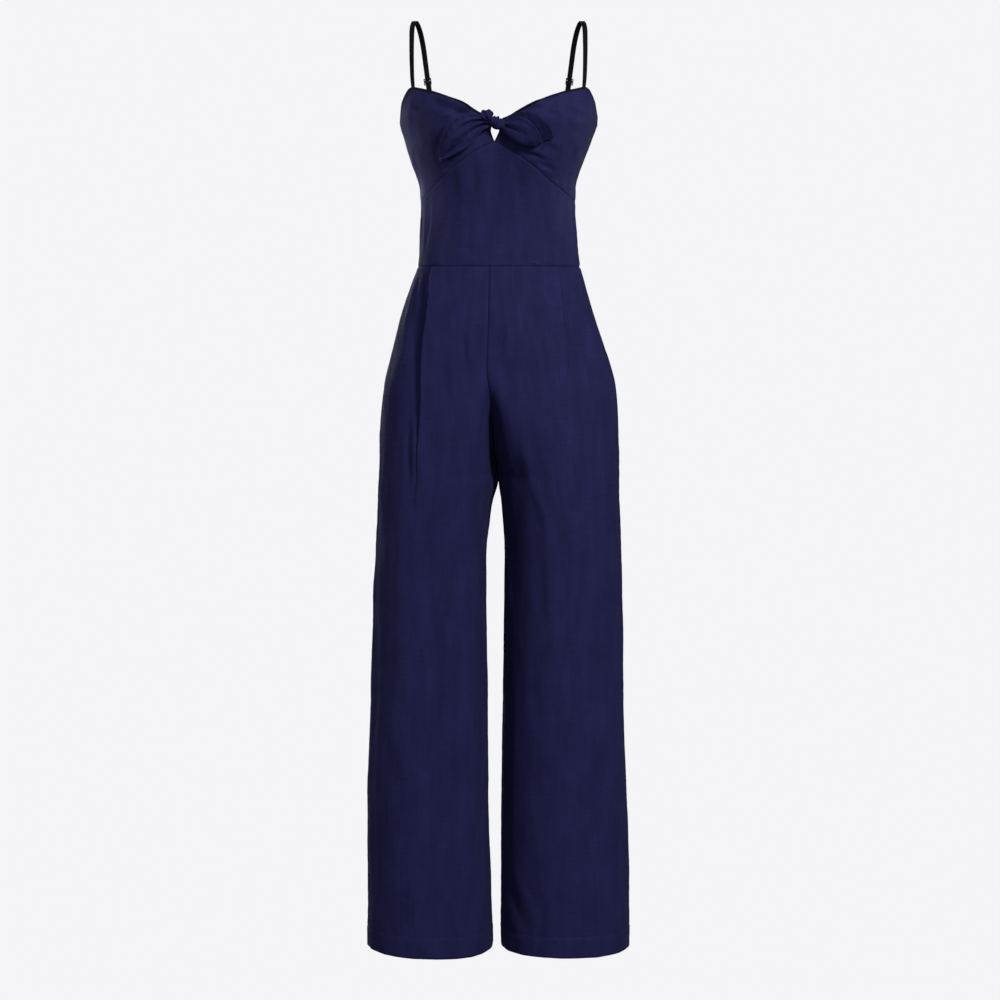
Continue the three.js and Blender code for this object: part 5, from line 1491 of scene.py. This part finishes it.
def new_group(name, inputs, outputs):
    group = bpy.data.node_groups.new(name, "ShaderNodeTree")
    for socket, value in inputs.items():
        made = group.interface.new_socket(socket, in_out="INPUT", socket_type="NodeSocketFloat")
        made.default_value = value
    for socket in outputs:
        group.interface.new_socket(socket, in_out="OUTPUT", socket_type="NodeSocketFloat")
    return group, group.nodes.new("NodeGroupInput").outputs, group.nodes.new("NodeGroupOutput").inputs


def cloth_coordinates(tree):
    where = put(tree, "ShaderNodeUVMap", uv_map="Weave").outputs[0]
    parts = put(tree, "ShaderNodeSeparateXYZ", ordered=(where,))
    return parts.outputs[0], parts.outputs[1]


def stretched_noise(tree, u, v, wide, high, detail=2.0):
    """Noise over the cloth whose patches are so wide and high, in metres."""
    scaled = put(tree, "ShaderNodeCombineXYZ", ordered=(
        calc(tree, "DIVIDE", u, wide), calc(tree, "DIVIDE", v, high)))
    return put(tree, "ShaderNodeTexNoise", {"Vector": scaled.outputs[0], "Scale": 1.0, "Detail": detail},
               noise_dimensions="2D").outputs[0]


def plain_weave_group():
    """Threads over and under each other. Thread is the distance between two threads, in metres."""
    group, given, result = new_group("plain_weave", {"Thread": LINEN_THREAD}, ["Height"])
    u, v = cloth_coordinates(group)
    turn = calc(group, "DIVIDE", math.pi, given["Thread"])
    a = calc(group, "SINE", calc(group, "MULTIPLY", u, turn))
    b = calc(group, "SINE", calc(group, "MULTIPLY", v, turn))
    across, down = calc(group, "ABSOLUTE", a), calc(group, "ABSOLUTE", b)
    warp = calc(group, "MULTIPLY", across, calc(group, "POWER", down, 0.4))
    weft = calc(group, "MULTIPLY", down, calc(group, "POWER", across, 0.4))
    on_top = calc(group, "GREATER_THAN", calc(group, "MULTIPLY", a, b), 0.0)
    mixed = put(group, "ShaderNodeMix", ordered=(on_top, None, weft, warp), data_type="FLOAT")
    group.links.new(mixed.outputs[0], result["Height"])
    return group


def slub_group():
    """Thick places in the yarn, as short streaks both ways, and soft unevenness of the dye."""
    group, given, result = new_group("slubs", {"Down": 1.0, "Across": 1.0}, ["Streaks", "Dye", "Bands"])
    u, v = cloth_coordinates(group)
    down = between(group, stretched_noise(group, u, v, *SLUB_DOWN), 0.5, 0.8)
    across = between(group, stretched_noise(group, u, v, *SLUB_ACROSS), 0.56, 0.8)
    streaks = calc(group, "ADD", calc(group, "MULTIPLY", down, given["Down"]),
                   calc(group, "MULTIPLY", across, given["Across"]))
    dye = stretched_noise(group, u, v, *DYE_PATCH, 3.0)
    bands = between(group, stretched_noise(group, u, v, *BAND_PATCH), 0.3, 0.7)
    group.links.new(bands, result["Bands"])
    group.links.new(streaks, result["Streaks"])
    group.links.new(dye, result["Dye"])
    return group


def new_material(name):
    material = bpy.data.materials.new(name)
    material.use_nodes = True
    tree = material.node_tree
    tree.nodes.clear()
    shader = tree.nodes.new("ShaderNodeBsdfPrincipled")
    output = tree.nodes.new("ShaderNodeOutputMaterial")
    tree.links.new(shader.outputs[0], output.inputs[0])
    return material, tree, shader


def use_group(tree, group, **values):
    made = put(tree, "ShaderNodeGroup", node_tree=group)
    for name, value in values.items():
        made.inputs[name].default_value = value
    return made.outputs


def colour_mix(tree, factor, first, second):
    mixed = put(tree, "ShaderNodeMix", data_type="RGBA")
    for socket, value in ((MIX_FACTOR, factor), (MIX_FIRST, first), (MIX_SECOND, second)):
        if isinstance(value, bpy.types.NodeSocket):
            tree.links.new(value, mixed.inputs[socket])
        else:
            mixed.inputs[socket].default_value = value
    return mixed.outputs[MIX_RESULT]


def weighted(tree, *terms):
    """The sum of values, each with its weight."""
    parts = [calc(tree, "MULTIPLY", value, weight) for value, weight in terms]
    total = parts[0]
    for part in parts[1:]:
        total = calc(tree, "ADD", total, part)
    return total


def finish_shader(tree, shader, inputs, settings):
    """Links what varies over the surface, and sets what is the same all over."""
    for name, value in inputs.items():
        tree.links.new(value, shader.inputs[name])
    for name, value in settings.items():
        shader.inputs[name].default_value = value


def linen(name, weave, slubs, dark, light, sheen):
    """Plain-woven linen: two close shades of dye, slubs that catch the light, and the weave's relief, which
    also darkens the colour between the threads as painted shade.
    """
    material, tree, shader = new_material(name)
    threads = use_group(tree, weave, Thread=LINEN_THREAD)
    yarn = use_group(tree, slubs, Down=0.4, Across=0.6)
    # The weave's height lightens the crowns of the threads and darkens the hollows between them as painted
    # shade. It is added to the random unevenness of the dye and yarn.
    tone_and_weave_shade = weighted(tree, (yarn["Dye"], 0.5), (yarn["Streaks"], 0.55), (threads["Height"], 0.25),
                     (yarn["Bands"], 0.24))
    relief = weighted(tree, (threads["Height"], 1.0), (yarn["Streaks"], 0.8))
    bump = put(tree, "ShaderNodeBump", {"Strength": 0.5, "Distance": 0.00022, "Height": relief})
    finish_shader(tree, shader, {
        "Base Color": colour_mix(tree, between(tree, tone_and_weave_shade, 0.1, 1.05), dark, light),
        "Roughness": between(tree, yarn["Streaks"], 0.0, 1.0, 0.82, 0.68),
        "Normal": bump.outputs[0],
    }, {
        "Sheen Weight": sheen,
        "Sheen Roughness": 0.35,
        "Sheen Tint": (0.75, 0.78, 1.0, 1.0),
        "Specular IOR Level": 0.12,
    })
    return material


def webbing(name, weave, dark, light):
    """Narrow woven strap or tape, finer and smoother than the linen, its colour darker between the threads as
    painted shade.
    """
    material, tree, shader = new_material(name)
    threads = use_group(tree, weave, Thread=WEBBING_THREAD)
    u, v = cloth_coordinates(tree)
    worn = stretched_noise(tree, u, v, *WORN_PATCH, 3.0)
    # The weave's height darkens the hollows between the threads as painted shade. It is added to random worn
    # patches.
    tone_and_weave_shade = weighted(tree, (threads["Height"], 0.5), (worn, 0.5))
    bump = put(tree, "ShaderNodeBump", {"Strength": 0.6, "Distance": 0.0002, "Height": threads["Height"]})
    finish_shader(tree, shader, {
        "Base Color": colour_mix(tree, tone_and_weave_shade, dark, light),
        "Roughness": between(tree, worn, 0.3, 0.7, 0.7, 0.85),
        "Normal": bump.outputs[0],
    }, {"Sheen Weight": 0.01, "Specular IOR Level": 0.1})
    return material


def solid_noise(tree, scale, detail):
    """Noise through the piece's own space."""
    where = put(tree, "ShaderNodeTexCoord").outputs["Object"]
    return put(tree, "ShaderNodeTexNoise", {"Vector": where, "Scale": scale, "Detail": detail}).outputs[0]


def coated_metal(name, dark, light):
    """Dark coated metal, with faint rubbing on it."""
    material, tree, shader = new_material(name)
    rubbed = solid_noise(tree, 900.0, 4.0)
    grain = solid_noise(tree, 4000.0, 2.0)
    bump = put(tree, "ShaderNodeBump", {"Strength": 0.25, "Distance": 0.00004, "Height": grain})
    finish_shader(tree, shader, {
        "Base Color": colour_mix(tree, between(tree, rubbed, 0.45, 0.7), dark, light),
        "Roughness": between(tree, rubbed, 0.3, 0.7, 0.42, 0.58),
        "Normal": bump.outputs[0],
    }, {"Metallic": 0.35})
    return material


def thread_material(name, dark, light):
    material, tree, shader = new_material(name)
    ply = solid_noise(tree, 2500.0, 2.0)
    finish_shader(tree, shader, {
        "Base Color": colour_mix(tree, between(tree, ply, 0.3, 0.7), dark, light),
        "Roughness": between(tree, ply, 0.3, 0.7, 0.45, 0.65),
    }, {})
    return material


# Dark and light tone of each material. The binding's near-black tones are painted shade along the bound
# edges, and the cloth materials also take painted shade between the threads of the weave.
SHADES = {
    "linen": ((0.0078, 0.0078, 0.042, 1), (0.0185, 0.0183, 0.086, 1)),
    # Near-black tones of the bindings: painted shade along the turned edges of the neckline, keyhole and
    # back.
    "binding": ((0.0022, 0.0022, 0.006, 1), (0.004, 0.004, 0.011, 1)),
    "strap": ((0.002, 0.002, 0.0038, 1), (0.005, 0.005, 0.0085, 1)),
    "tape": ((0.008, 0.008, 0.025, 1), (0.014, 0.014, 0.045, 1)),
    "metal": ((0.003, 0.003, 0.008, 1), (0.012, 0.012, 0.024, 1)),
    "thread": ((0.012, 0.012, 0.045, 1), (0.03, 0.03, 0.085, 1)),
    "teeth": ((0.01, 0.01, 0.03, 1), (0.018, 0.018, 0.05, 1)),
}


def make_materials():
    weave, slubs = plain_weave_group(), slub_group()
    return {
        "linen": linen("navy_linen", weave, slubs, *SHADES["linen"], 0.025),
        # The bindings' dark colour is painted shade along the turned edges.
        "binding": linen("navy_binding_painted_shade", weave, slubs, *SHADES["binding"], 0.0),
        "strap": webbing("navy_webbing", weave, *SHADES["strap"]),
        "tape": webbing("navy_tape", weave, *SHADES["tape"]),
        "metal": coated_metal("navy_coated_metal", *SHADES["metal"]),
        "thread": thread_material("navy_thread", *SHADES["thread"]),
        "teeth": thread_material("navy_nylon", *SHADES["teeth"]),
    }


def paint(made, material):
    made.data.materials.clear()
    made.data.materials.append(material)


# Stage, lights and camera

PALE = (0.913, 0.905, 0.931, 1)
AMBIENT = (0.8, 0.85, 1.0, 1)
AMBIENT_STRENGTH = 0.14
FLOOR_Z = -1560
FLOOR_HALF = 9000
CAMERA = {"lens": 94.39, "sensor": 36, "place": (0.0023, -4.0, -0.4174), "down_deg": 4.3746}

# Lights: where each stands and points, in metres, its width and height, its power and its spread
Light = namedtuple("Light", "name place target size power spread_deg", defaults=[180])
LIGHTS = [
    Light("key_light", (2.05, -3.0, 1.75), (0, 0, -0.62), (0.9, 0.9), 164),
    Light("front_light", (-0.4, -3.9, 0.3), (0, 0, -0.8), (1.6, 2.2), 24),
    Light("side_light", (-2.8, -0.35, -0.2), (-0.15, 0, -0.8), (0.7, 1.6), 14),
    Light("right_rim_light", (-1.4, 0.5, -0.1), (-0.13, 0, -0.225), (0.12, 0.16), 0.1, 11),
    Light("left_rim_light", (1.5, 0.7, -0.1), (0.13, 0, -0.225), (0.12, 0.16), 0.045, 11),
    Light("back_light", (-1.6, 3.2, 0.9), (0, 0, -0.6), (1.4, 1.4), 60),
]


def pale_material():
    """A pale even ground. It is lit from within, so that it stays plain, and can't be seen from below."""
    material, tree, shader = new_material("pale_ground")
    finish_shader(tree, shader, {}, {
        "Base Color": (0.0, 0.0, 0.0, 1),
        "Specular IOR Level": 0.0,
        "Emission Color": PALE,
        "Emission Strength": 1.0,
    })
    path = put(tree, "ShaderNodeLightPath").outputs["Is Camera Ray"]
    below = put(tree, "ShaderNodeNewGeometry").outputs["Backfacing"]
    seen = calc(tree, "MULTIPLY", path, calc(tree, "SUBTRACT", 1.0, below))
    clear = tree.nodes.new("ShaderNodeBsdfTransparent")
    mixed = put(tree, "ShaderNodeMixShader", ordered=(seen, clear.outputs[0], shader.outputs[0]))
    output = next(n for n in tree.nodes if n.type == "OUTPUT_MATERIAL")
    tree.links.new(mixed.outputs[0], output.inputs[0])
    return material


def make_stage():
    corners = [(x * FLOOR_HALF, y * FLOOR_HALF, FLOOR_Z) for x, y in ((-1, -1), (1, -1), (1, 1), (-1, 1))]
    floor = mesh_object("floor", corners, [(0, 1, 2, 3)])
    paint(floor, pale_material())
    world = bpy.data.worlds.new("pale_room")
    bpy.context.scene.world = world
    world.use_nodes = True
    tree = world.node_tree
    tree.nodes.clear()
    backdrop = put(tree, "ShaderNodeBackground", {"Color": PALE, "Strength": 1.0})
    room = put(tree, "ShaderNodeBackground", {"Color": AMBIENT, "Strength": AMBIENT_STRENGTH})
    path = put(tree, "ShaderNodeLightPath").outputs["Is Camera Ray"]
    mixed = put(tree, "ShaderNodeMixShader", ordered=(path, room.outputs[0], backdrop.outputs[0]))
    output = tree.nodes.new("ShaderNodeOutputWorld")
    tree.links.new(mixed.outputs[0], output.inputs[0])


def make_lights():
    for light in LIGHTS:
        data = bpy.data.lights.new(light.name, "AREA")
        data.shape = "RECTANGLE"
        data.size, data.size_y = light.size
        data.energy = light.power
        data.spread = math.radians(light.spread_deg)
        lamp = bpy.data.objects.new(light.name, data)
        bpy.context.scene.collection.objects.link(lamp)
        lamp.location = light.place
        lamp.rotation_mode = "QUATERNION"
        way = Vector(light.target) - Vector(light.place)
        lamp.rotation_quaternion = way.to_track_quat("-Z", "Y")
        lamp.visible_camera = False


def make_camera():
    data = bpy.data.cameras.new("camera")
    data.lens = CAMERA["lens"]
    data.sensor_width = CAMERA["sensor"]
    camera = bpy.data.objects.new("camera", data)
    bpy.context.scene.collection.objects.link(camera)
    camera.location = CAMERA["place"]
    camera.rotation_euler = (math.radians(90 - CAMERA["down_deg"]), 0, 0)
    bpy.context.scene.camera = camera
    bpy.context.scene.view_settings.view_transform = "Standard"


# The garment

MATERIALS = make_materials()


def dress(made, material, nodes=(), body="garment"):
    """Gives a piece its material and its body, and hides the nodes that it stands for."""
    paint(made, MATERIALS[material])
    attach(made, body)
    if nodes:
        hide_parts(*nodes)


def make_panels():
    for word, side in SIDES.items():
        made = cup(word, side)
        dress(made.object, "linen", [f"cup_{word}"])
        # The bound edges are real pieces; their near-black colour is painted shade along them.
        neckline = edge_binding(f"neckline_binding_{word}", made, "top", BINDING["wide"])
        dress(neckline, "binding")
        keyhole = edge_binding(f"keyhole_binding_{word}", made, "first", BINDING["keyhole_wide"])
        dress(keyhole, "binding")
        made = bodice_back(word, side)
        dress(made.object, "linen", [f"bodice_back_{word}"])
        back_edge = edge_binding(f"back_binding_{word}", made, "top", BINDING["wide"])
        dress(back_edge, "binding")
        for name, make in (("trouser_front", trouser_front), ("trouser_back", trouser_back)):
            made = make(word, side)
            dress(made.object, "linen", [f"{name}_{word}"])
            row = hem_row(made.outer)
            stitches = stitch_row(f"hem_stitches_{name}_{word}", made.outer[row], made.normals[row])
            dress(stitches, "thread")
    made = midriff()
    dress(made.object, "linen", ["midriff"])
    dress(loose_thread(), "thread")


def make_tie():
    for word, make in (("right", right_tail), ("left", left_tail)):
        made = make()
        dress(made.object, "linen", [f"tie_tail_{word}"])
    band = knot_turn("tie_knot_band_cloth", KNOT_BAND)
    lobe = knot_turn("tie_knot_lobe_cloth", KNOT_LOBE)
    for made, node in ((band, "tie_knot_band"), (lobe, "tie_knot_lobe")):
        dress(made, "linen", [node])


def make_straps():
    for word, side in SIDES.items():
        dress(strap(word, side), "strap", [f"strap_{word}"])
        dress(strap_loop(word, side), "strap", [f"strap_loop_{word}"])
        dress(slider(word, side), "metal", [f"strap_slider_{word}"])
        dress(ring(word, side), "metal", [f"strap_ring_{word}"])


def make_zip():
    for word, side in SIDES.items():
        dress(zip_tape(word, side), "tape", [f"zip_tape_{word}"])
    body, pin = zip_slider()
    dress(body, "metal", ["zip_slider"])
    dress(pin, "metal")
    dress(zip_teeth(), "teeth")
    dress(zip_pull(), "metal", ["zip_pull"], body="pull")


make_camera()
make_stage()
make_lights()
make_panels()
make_tie()
make_straps()
make_zip()
